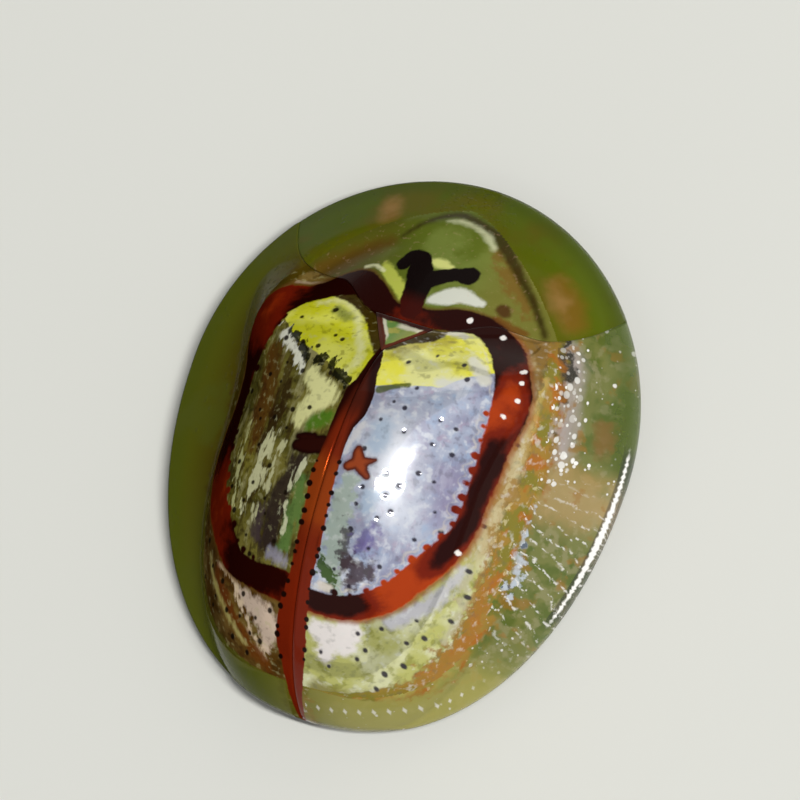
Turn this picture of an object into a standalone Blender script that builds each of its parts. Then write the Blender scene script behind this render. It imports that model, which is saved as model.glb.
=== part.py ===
"""A tortoise beetle at life size, its legs, head and feelers drawn in under the broad shell.

Metres, +Z up. The head faces -Y, so the beetle's right side is at -X. The origin is on the
floor under the middle of the shell, and six flat soles rest on it.
"""

import math

import bmesh
import bpy
from mathutils import Vector

MM = 0.001

# The shell seen from above: two half superellipses that meet at its widest line
SHELL_LENGTH = 7.0 * MM
SHELL_HALF_WIDTH = 3.0 * MM
WIDEST_Y = -0.41 * MM
FRONT_POWER = 1.98
REAR_POWER = 2.15
FRONT_Y = -SHELL_LENGTH / 2
APEX_Y = SHELL_LENGTH / 2

# The brim all round, which slopes down to a thin rim just clear of the floor
RIM_Z = 0.28 * MM
RIM_LIFT = 0.14 * MM
BRIM_RISE = 1.8 * MM
BRIM_RISE_FRONT = 2.8 * MM
BRIM_STEEPENS_FROM = 1.2 * MM
BRIM_STEEPENS_TO = 2.2 * MM
RIM_THICKNESS = 0.2 * MM
BRIM_THICKNESS = 0.42 * MM
BRIM_SHARE = 0.3

# The domed disc of the wing cases inside the brim
DOME_HEIGHT = 2.31 * MM
DOME_Y = 0.35 * MM
DOME_HALF_WIDTH = 2.15 * MM
DOME_REAR = 3.2 * MM
DOME_FRONT = 2.48 * MM
DOME_SHOULDER_WIDENING = 0.45 * MM
DOME_WIDENS_OVER = 1.55 * MM
DOME_FRONT_POWER = 3.2
DOME_REAR_POWER = 2.4
DOME_ROUNDNESS = 2.2
DOME_SHARPNESS = 0.62
WING_CASE_THICKNESS = 0.5 * MM
# How far the disc's inner face draws in at its sides and back, and at its front, for its inset
INNER_DRAW_IN = 0.9
INNER_DRAW_IN_FRONT = 0.3
SHOULDER_X = 1.5 * MM
SHOULDER_Y = -1.05 * MM
SHOULDER_REACH = 0.55 * MM
SHOULDER_HEIGHT = 0.12 * MM
FOOT_BLEND = 0.4 * MM
BASE_STEP = 0.03 * MM
BASE_REACH = 0.9 * MM

# The raised hood in the middle of the pronotum
HOOD_Y = -1.25 * MM
HOOD_LENGTH = 1.75 * MM
HOOD_HALF_WIDTH = 1.9 * MM
HOOD_ARCH_POWER = 1.4
HOOD_SLOPE_POWER = 1.2
HOOD_SLOPE_SHARPNESS = 0.95
HOOD_CREST_POWER = 2.2
HOOD_CREST_SHARPNESS = 0.75
HOOD_FOOT = 0.5 * MM
HOOD_HEIGHT = 1.02 * MM
# How steeply the hood falls away under the brim, outside its arch
HOOD_FALL = 3.0 * MM
HOOD_BLEND = 0.14 * MM
PRONOTUM_BRIM_TOP = 0.62 * MM
PRONOTUM_BRIM_BLEND = 0.12 * MM

# The seams, as gaps between the plates
SEAM_GAP = 0.07 * MM
SUTURE_GAP = 0.06 * MM
BODY_GAP = 0.12 * MM
SEAM_MIDDLE_Y = -1.5 * MM
SEAM_LOBE_INNER_X = 0.45 * MM
SEAM_LOBE_OUTER_X = 1.1 * MM
SEAM_LOBE_DEPTH = 0.3 * MM
SEAM_CORNER_DEPTH = 0.5 * MM
SEAM_CORNER_POWER = 3.5
SCUTELLUM_HALF_WIDTH = 0.38 * MM
SCUTELLUM_APEX_Y = -1.03 * MM
SCUTELLUM_RAISE = 0.04 * MM
# The part of a wing case's front edge that runs beside the scutellum
SCUTELLUM_EDGE_SHARE = 0.22

# The body under the shell
BELLY_Z = 0.58 * MM
BELLY_CURVE = 0.1 * MM
BODY_HALF_WIDTH = 1.55 * MM
PROTHORAX_FRONT_Y = -2.05 * MM
PROTHORAX_REAR_Y = -1.62 * MM
PROTHORAX_HALF_WIDTH = 1.2 * MM
THORAX_FRONT_Y = -1.52 * MM
THORAX_REAR_Y = 0.1 * MM
ABDOMEN_REAR_Y = 2.92 * MM
ABDOMEN_RINGS = 5
RING_STEP = 0.05 * MM

# The head, under the front of the pronotum
HEAD_HALF_WIDTH = 0.55 * MM
HEAD_SHAPE = (
    (-2.15, 0.74, 0.18, 0.6),
    (-2.3, 0.94, 0.11, 0.66),
    (-2.5, 1.0, 0.09, 0.63),
    (-2.7, 0.9, 0.09, 0.52),
    (-2.84, 0.66, 0.11, 0.41),
    (-2.92, 0.36, 0.15, 0.31),
)
EYE_CENTRE = Vector((0.5, -2.44, 0.38)) * MM
EYE_RADII = Vector((0.16, 0.2, 0.21)) * MM
EYE_GAP = 0.05 * MM

# The lip and the jaws, just ahead of the face
LIP_ROUTE = ((-2.98, 0.22), (-3.06, 0.2), (-3.14, 0.16))
LIP_SIZES = ((0.19 * MM, 0.09 * MM), (0.2 * MM, 0.08 * MM), (0.12 * MM, 0.04 * MM))
JAW_ROUTE = ((0.13, -3.0, 0.16), (0.17, -3.11, 0.13), (0.06, -3.2, 0.1))
JAW_RADII = (0.08, 0.07, 0.025)

# Each antenna: eleven joints, the outer ones thicker
ANTENNA_ROUTE = ((0.46, -2.76, 0.27), (0.78, -2.86, 0.24), (1.2, -2.74, 0.21), (1.6, -2.42, 0.2),
                 (1.9, -2.04, 0.2), (2.02, -1.76, 0.2))
ANTENNA_JOINTS = 11
ANTENNA_BASE_RADIUS = 0.13 * MM
ANTENNA_CLUB_RADIUS = 0.165 * MM
ANTENNA_WAIST = 0.74

# Each leg: hip, knee, ankle and toe seen from above
LEGS = {
    "front": ((0.38, -1.82), (1.16, -1.84), (1.6, -1.5), (1.93, -1.12)),
    "middle": ((0.52, -0.78), (1.35, -0.62), (1.95, -0.5), (2.52, -0.42)),
    "hind": ((0.5, -0.2), (1.3, 0.62), (1.82, 1.22), (2.1, 1.74)),
}
HIP_RADIUS = 0.25 * MM
HIP_SHAPE = (0.85, 1.0, 0.6)
HIP_BEVEL = 0.08 * MM
THIGH_Z = 0.27 * MM
THIGH_RADIUS = 0.2 * MM
SHIN_RADIUS = 0.16 * MM
ANKLE_Z = 0.17 * MM
SOLE_Z = 0.0
THIGH_SHAPE = ((0.0, 0.7), (0.2, 0.92), (0.5, 1.0), (0.8, 0.86), (1.0, 0.6))
SHIN_SHAPE = ((0.0, 0.62), (0.12, 0.85), (0.5, 0.92), (0.85, 1.05), (1.0, 0.8))
FOOT_SHAPE = ((0.0, 0.55), (0.12, 0.8), (0.24, 0.62), (0.32, 0.86), (0.46, 0.66), (0.56, 1.2),
              (0.76, 1.3), (0.86, 0.66), (1.0, 0.45))
FOOT_HALF_WIDTH = 0.17 * MM
FOOT_HEIGHT = 0.24 * MM
FOOT_TAPER = 0.35
FOOT_MIDDLE = 0.42
CLAW_LENGTH = 0.16 * MM
CLAW_RADIUS = 0.05 * MM
CLAW_SPREAD = 0.07 * MM
CLAW_SHAPE = (1.0, 0.8, 0.25)
CLAW_HEIGHTS = (0.08 * MM, 0.1 * MM, 0.035 * MM)

LIMB_SIDES = 8
WING_CASE_ROWS = 30
WING_CASE_COLUMNS = 20
PRONOTUM_ROWS = 12
PRONOTUM_COLUMNS = 40
BODY_COLUMNS = 12
MERGE = 1e-7

COLOURS = {
    "wing_case": (0.62, 0.60, 0.30, 0.28, 0.7),
    "pronotum": (0.24, 0.27, 0.06, 0.35, 0.25),
    "scutellum": (0.42, 0.48, 0.28, 0.3, 0.6),
    "body": (0.08, 0.035, 0.015, 0.45, 0.0),
    "head": (0.22, 0.16, 0.04, 0.45, 0.0),
    "eye": (0.01, 0.008, 0.006, 0.2, 0.0),
    "limb": (0.36, 0.22, 0.06, 0.45, 0.0),
    "mouth": (0.12, 0.05, 0.02, 0.4, 0.0),
}


def clear_scene():
    for obj in list(bpy.data.objects):
        bpy.data.objects.remove(obj, do_unlink=True)


def material(name):
    """One plain finish: red, green, blue, roughness and how metallic it is."""
    red, green, blue, roughness, metallic = COLOURS[name]
    made = bpy.data.materials.get(name) or bpy.data.materials.new(name)
    made.use_nodes = True
    shader = made.node_tree.nodes["Principled BSDF"]
    shader.inputs["Base Color"].default_value = (red, green, blue, 1.0)
    shader.inputs["Roughness"].default_value = roughness
    shader.inputs["Metallic"].default_value = metallic
    return made


def make_object(name, mesh_builder, finish):
    """Turn a finished bmesh into a named, smooth-shaded object."""
    bmesh.ops.remove_doubles(mesh_builder, verts=mesh_builder.verts, dist=MERGE)
    bmesh.ops.recalc_face_normals(mesh_builder, faces=mesh_builder.faces)
    mesh = bpy.data.meshes.new(name)
    mesh_builder.to_mesh(mesh)
    mesh_builder.free()
    mesh.shade_smooth()
    mesh.set_sharp_from_angle(angle=math.radians(40))
    mesh.materials.append(material(finish))
    obj = bpy.data.objects.new(name, mesh)
    bpy.context.scene.collection.objects.link(obj)
    return obj


def smooth_step(low, high, value):
    share = min(1.0, max(0.0, (value - low) / (high - low)))
    return share * share * (3 - 2 * share)


def smooth_max(first, second, blend):
    share = min(1.0, max(0.0, 0.5 + 0.5 * (first - second) / blend))
    return first * share + second * (1 - share) + blend * share * (1 - share)


def signed_power(value, power):
    return math.copysign(abs(value) ** power, value)


def outline_radius(x, y):
    """0 at the middle of the widest line and 1 on the shell's outline."""
    if y < WIDEST_Y:
        length, power = WIDEST_Y - FRONT_Y, FRONT_POWER
    else:
        length, power = APEX_Y - WIDEST_Y, REAR_POWER
    across = abs(x) / SHELL_HALF_WIDTH
    along = abs(y - WIDEST_Y) / length
    return (across ** power + along ** power) ** (1 / power)


def outline_point(angle):
    """A point of the outline's +X half: -90 degrees is the front and 90 the apex."""
    if angle < 0:
        length, power = WIDEST_Y - FRONT_Y, FRONT_POWER
    else:
        length, power = APEX_Y - WIDEST_Y, REAR_POWER
    x = SHELL_HALF_WIDTH * signed_power(math.cos(angle), 2 / power)
    y = WIDEST_Y + length * signed_power(math.sin(angle), 2 / power)
    return x, y


def seam_y(x):
    """The pronotum's hind edge: a lobe in the middle, swept forward to the corners."""
    reach = abs(x)
    y = SEAM_MIDDLE_Y - SEAM_LOBE_DEPTH * smooth_step(SEAM_LOBE_INNER_X, SEAM_LOBE_OUTER_X, reach)
    if reach > SEAM_LOBE_OUTER_X:
        beyond = (reach - SEAM_LOBE_OUTER_X) / SEAM_LOBE_OUTER_X
        y -= SEAM_CORNER_DEPTH * beyond ** SEAM_CORNER_POWER
    return y


def corner_angle(offset):
    """The outline's angle where the seam, moved back by offset, meets it."""
    low, high = -math.pi / 2, 0.0
    for _ in range(40):
        middle = (low + high) / 2
        x, y = outline_point(middle)
        if y < seam_y(x) + offset:
            low = middle
        else:
            high = middle
    return low


def brim_top(x, y, level=None):
    """The brim, which slopes up from the rim, and where a level is given turns flat there."""
    steeper = smooth_step(BRIM_STEEPENS_FROM, BRIM_STEEPENS_TO, -y)
    rise = BRIM_RISE + (BRIM_RISE_FRONT - BRIM_RISE) * steeper
    height = rise * (1 - outline_radius(x, y))
    if level is not None:
        height = -smooth_max(-height, -level, PRONOTUM_BRIM_BLEND)
    return RIM_Z + RIM_LIFT * (1 - (y / APEX_Y) ** 2) + height


def brim_thickness(x, y):
    share = min(1.0, (1 - outline_radius(x, y)) / BRIM_SHARE)
    return RIM_THICKNESS + (BRIM_THICKNESS - RIM_THICKNESS) * max(0.0, share)


def dome(x, y, inset):
    """Height of the domed disc, or of its inner face at a given inset."""
    half_width = DOME_HALF_WIDTH - INNER_DRAW_IN * inset
    if y < DOME_Y:
        length, power = DOME_FRONT - INNER_DRAW_IN_FRONT * inset, DOME_FRONT_POWER
        half_width += DOME_SHOULDER_WIDENING * ((DOME_Y - y) / DOME_WIDENS_OVER) ** 2
    else:
        length, power = DOME_REAR - INNER_DRAW_IN * inset, DOME_REAR_POWER
    across = abs(x) / half_width
    along = abs(y - DOME_Y) / length
    radius = (across ** power + along ** power) ** (1 / power)
    return (DOME_HEIGHT - inset) * signed_power(1 - radius ** DOME_ROUNDNESS, DOME_SHARPNESS)


def shoulder(x, y):
    distance = math.hypot(abs(x) - SHOULDER_X, y - SHOULDER_Y) / SHOULDER_REACH
    return SHOULDER_HEIGHT * math.exp(-distance * distance)


def disc_and_brim(x, y):
    return smooth_max(RIM_Z + dome(x, y, 0.0) + shoulder(x, y), brim_top(x, y), FOOT_BLEND)


def wing_case_top(x, y):
    """The disc and the brim, brought down in front to the pronotum's hind edge."""
    edge = seam_y(x)
    drop = disc_and_brim(x, edge) - pronotum_top(x, edge) - BASE_STEP
    return disc_and_brim(x, y) - drop * (1 - smooth_step(0.0, BASE_REACH, y - edge))


def wing_case_under(x, y):
    disc = RIM_Z + dome(x, y, WING_CASE_THICKNESS)
    free = smooth_max(disc, brim_top(x, y) - brim_thickness(x, y), FOOT_BLEND)
    return min(free, wing_case_top(x, y) - brim_thickness(x, y))


def pronotum_top(x, y):
    """The hood, straight along its middle and round across, over the brim."""
    along = abs(y - HOOD_Y) / HOOD_LENGTH
    aside = abs(x) / HOOD_HALF_WIDTH
    radius = (aside ** HOOD_ARCH_POWER + along ** HOOD_ARCH_POWER) ** (1 / HOOD_ARCH_POWER)
    hood = -HOOD_FALL * (radius - 1)
    if radius < 1:
        arch = (1 - along ** HOOD_ARCH_POWER) ** (1 / HOOD_ARCH_POWER)
        across = min(1.0, aside / arch)
        slope = (1 - along ** HOOD_SLOPE_POWER) ** HOOD_SLOPE_SHARPNESS
        hood = HOOD_HEIGHT * slope * (1 - across ** HOOD_CREST_POWER) ** HOOD_CREST_SHARPNESS
    return smooth_max(RIM_Z + HOOD_FOOT + hood, brim_top(x, y, PRONOTUM_BRIM_TOP), HOOD_BLEND)


def pronotum_under(x, y):
    return pronotum_top(x, y) - brim_thickness(x, y)


def slab(name, rows, top, under, finish):
    """A closed plate over a grid of (x, y) points, with its upper and lower faces split alike."""
    built = bmesh.new()
    upper = [[built.verts.new((x, y, top(x, y))) for x, y in row] for row in rows]
    lower = [[built.verts.new((x, y, under(x, y))) for x, y in row] for row in rows]
    last_row, last_column = len(rows) - 1, len(rows[0]) - 1
    for i in range(last_row):
        for j in range(last_column):
            for layer in (upper, lower):
                a, b = layer[i][j], layer[i][j + 1]
                c, d = layer[i + 1][j + 1], layer[i + 1][j]
                built.faces.new((a, b, c))
                built.faces.new((a, c, d))
    border = [(0, j) for j in range(last_column)]
    border += [(i, last_column) for i in range(last_row)]
    border += [(last_row, j) for j in range(last_column, 0, -1)]
    border += [(i, 0) for i in range(last_row, 0, -1)]
    for (i, j), (k, m) in zip(border, border[1:] + border[:1]):
        built.faces.new((upper[i][j], upper[k][m], lower[k][m], lower[i][j]))
    return make_object(name, built, finish)


def blend_points(first, second, share):
    return (first[0] + (second[0] - first[0]) * share, first[1] + (second[1] - first[1]) * share)


def wing_case(side_name, side):
    """One wing case, from its hind point forward to the pronotum and the scutellum."""
    inner_x = SUTURE_GAP / 2
    inner_front = (inner_x, SCUTELLUM_APEX_Y + 0.7 * SEAM_GAP)
    notch = (SCUTELLUM_HALF_WIDTH + SEAM_GAP, seam_y(SCUTELLUM_HALF_WIDTH) + SEAM_GAP)
    start_angle = corner_angle(SEAM_GAP)
    corner = outline_point(start_angle)
    end_angle = math.acos((inner_x / SHELL_HALF_WIDTH) ** (REAR_POWER / 2))
    apex = outline_point(end_angle)

    def front_edge(across):
        if across < SCUTELLUM_EDGE_SHARE:
            return blend_points(inner_front, notch, across / SCUTELLUM_EDGE_SHARE)
        share = (across - SCUTELLUM_EDGE_SHARE) / (1 - SCUTELLUM_EDGE_SHARE)
        x = notch[0] + (corner[0] - notch[0]) * share
        return x, seam_y(x) + SEAM_GAP

    rows = []
    for i in range(WING_CASE_ROWS + 1):
        along = i / WING_CASE_ROWS
        inner = blend_points(inner_front, apex, along)
        outer = outline_point(start_angle + (end_angle - start_angle) * along)
        row = []
        for j in range(WING_CASE_COLUMNS + 1):
            across = j / WING_CASE_COLUMNS
            front = front_edge(across) if across < 1 else corner
            ruled = blend_points(front, apex, along)
            crossed = blend_points(inner, outer, across)
            flat = blend_points(blend_points(inner_front, corner, across), apex, along)
            x = ruled[0] + crossed[0] - flat[0]
            y = ruled[1] + crossed[1] - flat[1]
            row.append((side * x, y))
        rows.append(row)
    return slab("elytron_" + side_name, rows, wing_case_top, wing_case_under, "wing_case")


def pronotum():
    start_angle = corner_angle(0.0)
    corner = outline_point(start_angle)
    rows = []
    for i in range(PRONOTUM_ROWS + 1):
        along = i / PRONOTUM_ROWS
        row = []
        for j in range(PRONOTUM_COLUMNS + 1):
            across = 2 * j / PRONOTUM_COLUMNS - 1
            hind = (across * corner[0], seam_y(across * corner[0]))
            angle = -math.pi / 2 + abs(across) * (start_angle + math.pi / 2)
            x, y = outline_point(angle)
            front = (math.copysign(x, across), y)
            if abs(across) == 1:
                hind = front
            row.append(blend_points(hind, front, along))
        rows.append(row)
    return slab("pronotum", rows, pronotum_top, pronotum_under, "pronotum")


def scutellum():
    base_y = SEAM_MIDDLE_Y + SEAM_GAP
    rows = []
    for i in range(5):
        along = i / 4
        half = SCUTELLUM_HALF_WIDTH * (1 - along)
        y = base_y + (SCUTELLUM_APEX_Y - base_y) * along
        rows.append([(half * (j / 2 - 1), y) for j in range(5)])

    def top(x, y):
        return wing_case_top(x, y) + SCUTELLUM_RAISE

    def under(x, y):
        return wing_case_under(x, y) - SCUTELLUM_RAISE

    return slab("scutellum", rows, top, under, "scutellum")


def belly(x, y):
    return BELLY_Z + BELLY_CURVE * (x / BODY_HALF_WIDTH) ** 2


def body_rows(lengthwise, half_width_at):
    rows = []
    for y in lengthwise:
        half = half_width_at(y)
        rows.append([(half * (2 * j / BODY_COLUMNS - 1), y) for j in range(BODY_COLUMNS + 1)])
    return rows


def spaced(start, end, count):
    return [start + (end - start) * i / count for i in range(count + 1)]


def prothorax():
    """The underside of the first body ring, between the head and the thorax."""
    def half_width(y):
        return PROTHORAX_HALF_WIDTH * (1 - 0.25 * smooth_step(1.7 * MM, 2.1 * MM, -y))

    def top(x, y):
        return pronotum_under(x, y) - BODY_GAP

    rows = body_rows(spaced(PROTHORAX_FRONT_Y, PROTHORAX_REAR_Y, 4), half_width)
    return slab("prothorax", rows, top, belly, "body")


def under_wing_cases(x, y):
    return wing_case_under(x, y) - BODY_GAP


def thorax():
    def half_width(y):
        return BODY_HALF_WIDTH * (1 - 0.08 * smooth_step(0.6 * MM, 1.5 * MM, -y))

    rows = body_rows(spaced(THORAX_FRONT_Y, THORAX_REAR_Y, 10), half_width)
    return slab("thorax", rows, under_wing_cases, belly, "body")


def abdomen():
    """The belly, stepped where each ring overlaps the next."""
    start = THORAX_REAR_Y + BODY_GAP
    length = ABDOMEN_REAR_Y - start
    ring_length = length / ABDOMEN_RINGS
    lengthwise = []
    for ring in range(ABDOMEN_RINGS):
        for share in (0.02, 0.45, 0.98):
            lengthwise.append(start + ring_length * (ring + share))
    lengthwise[0] = start
    lengthwise.append(ABDOMEN_REAR_Y)

    def half_width(y):
        share = min(1.0, (y - start) / length)
        return BODY_HALF_WIDTH * (1 - share ** 2.4) ** (1 / 2.0)

    def under(x, y):
        ring_share = ((y - start) / ring_length) % 1.0
        return belly(x, y) + RING_STEP * (0.6 - ring_share)

    return slab("abdomen", body_rows(lengthwise, half_width), under_wing_cases, under, "body")


def loft(route, sizes, floor=None):
    """A closed tube of oval rings along a route, its rings flattened where they meet the floor."""
    built = bmesh.new()
    rings = []
    for i, (point, (half_width, half_height)) in enumerate(zip(route, sizes)):
        before = route[max(0, i - 1)]
        after = route[min(len(route) - 1, i + 1)]
        ahead = (after - before).normalized()
        across = Vector((0, 0, 1)).cross(ahead)
        across = across.normalized() if across.length > 0.1 else Vector((1, 0, 0))
        up = ahead.cross(across)
        ring = []
        for k in range(LIMB_SIDES):
            angle = 2 * math.pi * (k + 0.5) / LIMB_SIDES
            corner = point + across * half_width * math.cos(angle) + up * half_height * math.sin(angle)
            if floor is not None:
                corner.z = max(corner.z, floor)
            ring.append(built.verts.new(corner))
        rings.append(ring)
    for first, second in zip(rings, rings[1:]):
        for k in range(LIMB_SIDES):
            m = (k + 1) % LIMB_SIDES
            built.faces.new((first[k], first[m], second[m], second[k]))
    built.faces.new(list(reversed(rings[0])))
    built.faces.new(rings[-1])
    return built


def between(start, end, share):
    return start + (end - start) * share


def joined(name, pieces, finish):
    """One closed body from overlapping pieces: the first is joined with all the others."""
    objects = [make_object(f"{name}_{i}", piece, finish) for i, piece in enumerate(pieces)]
    whole, others = objects[0], objects[1:]
    group = bpy.data.collections.new(name + "_pieces")
    bpy.context.scene.collection.children.link(group)
    for obj in others:
        bpy.context.scene.collection.objects.unlink(obj)
        group.objects.link(obj)
    union = whole.modifiers.new("Join", "BOOLEAN")
    union.operation = "UNION"
    union.solver = "EXACT"
    union.operand_type = "COLLECTION"
    union.collection = group
    apply_modifiers(whole)
    for obj in others:
        bpy.data.objects.remove(obj, do_unlink=True)
    bpy.data.collections.remove(group)
    whole.name = name
    whole.data.name = name
    return whole


def apply_modifiers(obj):
    """Keep what the modifiers make as the object's own mesh."""
    bpy.context.view_layer.update()
    graph = bpy.context.evaluated_depsgraph_get()
    finished = bpy.data.meshes.new_from_object(obj.evaluated_get(graph))
    obj.modifiers.clear()
    obj.data = finished


def head():
    """The head, with a socket at each side for its eye."""
    route = []
    sizes = []
    for y, width, low, high in HEAD_SHAPE:
        route.append(Vector((0, y * MM, (low + high) / 2 * MM)))
        sizes.append((HEAD_HALF_WIDTH * width, (high - low) / 2 * MM))
    return make_object("head", loft(route, sizes), "head")


def eye_shape(side, grow):
    built = bmesh.new()
    bmesh.ops.create_uvsphere(built, u_segments=12, v_segments=8, radius=1.0)
    for vert in built.verts:
        vert.co.x = vert.co.x * (EYE_RADII.x + grow) + side * EYE_CENTRE.x
        vert.co.y = vert.co.y * (EYE_RADII.y + grow) + EYE_CENTRE.y
        vert.co.z = vert.co.z * (EYE_RADII.z + grow) + EYE_CENTRE.z
    return built


def eyes_and_sockets(head_object):
    for side_name, side in (("right", -1), ("left", 1)):
        cutter = make_object("eye_socket_" + side_name, eye_shape(side, EYE_GAP), "eye")
        socket = head_object.modifiers.new("Eye socket " + side_name, "BOOLEAN")
        socket.operation = "DIFFERENCE"
        socket.solver = "EXACT"
        socket.object = cutter
        cutter.hide_render = True
        cutter.display_type = "WIRE"
        make_object("eye_" + side_name, eye_shape(side, 0.0), "eye")


def mouthparts():
    """Lip and a pair of jaws in front of the face."""
    pieces = [loft([Vector((0, y, z)) * MM for y, z in LIP_ROUTE], LIP_SIZES)]
    for side in (-1, 1):
        route = [Vector((side * x, y, z)) * MM for x, y, z in JAW_ROUTE]
        pieces.append(loft(route, [(radius * MM, radius * MM * 0.8) for radius in JAW_RADII]))
    return joined("mouthparts", pieces, "mouth")


def smooth_route(points, count):
    """Points read along a curve that passes through every given point."""
    route = []
    spans = len(points) - 1
    for i in range(count + 1):
        place = spans * i / count
        k = min(spans - 1, int(place))
        t = place - k
        p0, p1 = points[max(0, k - 1)], points[k]
        p2, p3 = points[k + 1], points[min(spans, k + 2)]
        route.append(0.5 * ((2 * p1) + (p2 - p0) * t + (2 * p0 - 5 * p1 + 4 * p2 - p3) * t * t
                            + (3 * p1 - p0 - 3 * p2 + p3) * t * t * t))
    return route


def antenna(side_name, side):
    points = [Vector((side * x, y, z)) * MM for x, y, z in ANTENNA_ROUTE]
    count = ANTENNA_JOINTS * 3
    route = smooth_route(points, count)
    sizes = []
    for i in range(count + 1):
        share = i / count
        radius = ANTENNA_BASE_RADIUS
        radius += (ANTENNA_CLUB_RADIUS - ANTENNA_BASE_RADIUS) * smooth_step(0.4, 0.6, share)
        radius *= 1 - 0.75 * smooth_step(0.9, 1.0, share)
        waist = ANTENNA_WAIST if i % 3 == 0 else 1.0
        sizes.append((radius * waist, radius * waist * 0.9))
    return make_object("antenna_" + side_name, loft(route, sizes), "limb")


def round_sizes(radius, shape):
    return [(radius * size, radius * size) for size in shape]


def leg(pair, side_name, side):
    """Hip, thigh, shin and foot in one piece, the flat sole on the floor."""
    hip, knee, ankle, toe = (Vector((side * x, y, 0)) * MM for x, y in LEGS[pair])
    knee.z = THIGH_Z
    ankle.z = ANKLE_Z
    hip_top = BELLY_Z - BODY_GAP
    hip_heights = (hip_top, hip_top - HIP_BEVEL, THIGH_Z - HIP_BEVEL)
    hip_route = [Vector((hip.x, hip.y, z)) for z in hip_heights]
    hip.z = THIGH_Z
    thigh = loft([between(hip, knee, share) for share, _ in THIGH_SHAPE],
                 [(THIGH_RADIUS * size, THIGH_RADIUS * size * 0.95) for _, size in THIGH_SHAPE])
    shin_start = between(knee, hip, 0.08)
    shin_start.z = THIGH_Z - 0.02 * MM
    shin_end = between(ankle, toe, 0.1)
    shin = loft([between(shin_start, shin_end, share) for share, _ in SHIN_SHAPE],
                [(SHIN_RADIUS * size, SHIN_RADIUS * size * 0.8) for _, size in SHIN_SHAPE])
    foot_route = []
    foot_sizes = []
    for share, size in FOOT_SHAPE:
        height = FOOT_HEIGHT * (1 - FOOT_TAPER * share)
        point = between(ankle, toe, share)
        point.z = SOLE_Z + height * FOOT_MIDDLE
        foot_route.append(point)
        foot_sizes.append((FOOT_HALF_WIDTH * size, height * (1 - FOOT_MIDDLE)))
    foot = loft(foot_route, foot_sizes, SOLE_Z)
    pieces = [thigh, loft(hip_route, round_sizes(HIP_RADIUS, HIP_SHAPE)), shin, foot]
    ahead = (toe - ankle).normalized()
    ahead.z = 0
    across = Vector((-ahead.y, ahead.x, 0))
    root = between(ankle, toe, 0.86)
    for turn in (-1, 1):
        bend = toe + ahead * CLAW_LENGTH * 0.4 + across * turn * CLAW_SPREAD * 0.6
        tip = toe + ahead * CLAW_LENGTH + across * turn * CLAW_SPREAD
        route = [root.copy(), bend, tip]
        for point, height in zip(route, CLAW_HEIGHTS):
            point.z = SOLE_Z + height
        pieces.append(loft(route, round_sizes(CLAW_RADIUS, CLAW_SHAPE)))
    return joined(f"leg_{pair}_{side_name}", pieces, "limb")


def main():
    clear_scene()
    pronotum()
    scutellum()
    prothorax()
    thorax()
    abdomen()
    eyes_and_sockets(head())
    mouthparts()
    for side_name, side in (("right", -1), ("left", 1)):
        wing_case(side_name, side)
        antenna(side_name, side)
        for pair in LEGS:
            leg(pair, side_name, side)


main()
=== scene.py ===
"""Looks of a tortoise beetle at life size: shells, body, limbs, their finishes, floor, light and camera.

Surfaces are in millimetres and are scaled to metres when a mesh is made.
The head faces -Y, the beetle's right side is at -X, and the soles stand on z = 0.
"""
import math

import bpy
import numpy as np
from mathutils import Matrix, Vector


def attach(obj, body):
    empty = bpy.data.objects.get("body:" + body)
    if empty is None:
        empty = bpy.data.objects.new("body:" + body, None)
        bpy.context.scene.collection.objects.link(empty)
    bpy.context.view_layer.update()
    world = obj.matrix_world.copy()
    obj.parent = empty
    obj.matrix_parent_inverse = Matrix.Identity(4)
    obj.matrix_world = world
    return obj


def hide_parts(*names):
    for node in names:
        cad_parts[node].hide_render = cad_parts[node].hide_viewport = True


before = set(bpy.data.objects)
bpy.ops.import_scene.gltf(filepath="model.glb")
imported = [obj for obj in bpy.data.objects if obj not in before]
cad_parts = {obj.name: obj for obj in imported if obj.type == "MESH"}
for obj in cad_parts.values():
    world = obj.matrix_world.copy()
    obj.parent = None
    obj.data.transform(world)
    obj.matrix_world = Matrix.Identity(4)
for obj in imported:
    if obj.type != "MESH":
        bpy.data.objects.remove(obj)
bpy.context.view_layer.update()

MM = 0.001
SEED = 11
SIDES = (("right", -1), ("left", 1))
SMOOTH = {"interpolation_type": "SMOOTHSTEP"}

# The shell's form, as in the solids but for its thinner rim and narrower seams
HALF_LENGTH = 3.5
HALF_WIDTH = 3.0
WIDEST_Y = -0.41
FRONT_POWER = 1.98
REAR_POWER = 2.15
RIM_Z = 0.28
RIM_LIFT = 0.14
BRIM_RISE = 1.8
BRIM_RISE_FRONT = 2.8
# How far in front of the middle the brim gets its steeper rise, and how high it goes under the hood
BRIM_STEEPER = (1.2, 2.2)
BRIM_LEVEL = 0.62
BRIM_BLEND = 0.12
RIM_THICKNESS = 0.07
BRIM_THICKNESS = 0.12
BRIM_TAPER = 0.2
DOME_HEIGHT = 2.31
DOME_Y = 0.35
DOME_HALF_WIDTH = 2.15
DOME_REAR = 3.2
DOME_FRONT = 2.48
DOME_FLARE = 0.45
DOME_FLARE_LENGTH = 1.55
# How much of an inset moves the dome's wall in, and its front
INSET_WALL = 0.9
INSET_FRONT = 0.3
DOME_POWER_FRONT = 3.2
DOME_POWER_REAR = 2.4
DOME_TOP_POWER = 2.2
DOME_WALL_POWER = 0.62
# Where the metal is widest, and in front of it and behind it its half width, length and power
FOOT_Y = 0.2
FOOT_FRONT = (1.97, 2.6, 4.0)
FOOT_REAR = (1.92, 2.95, 3.2)
CASE_THICKNESS = 0.5
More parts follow.
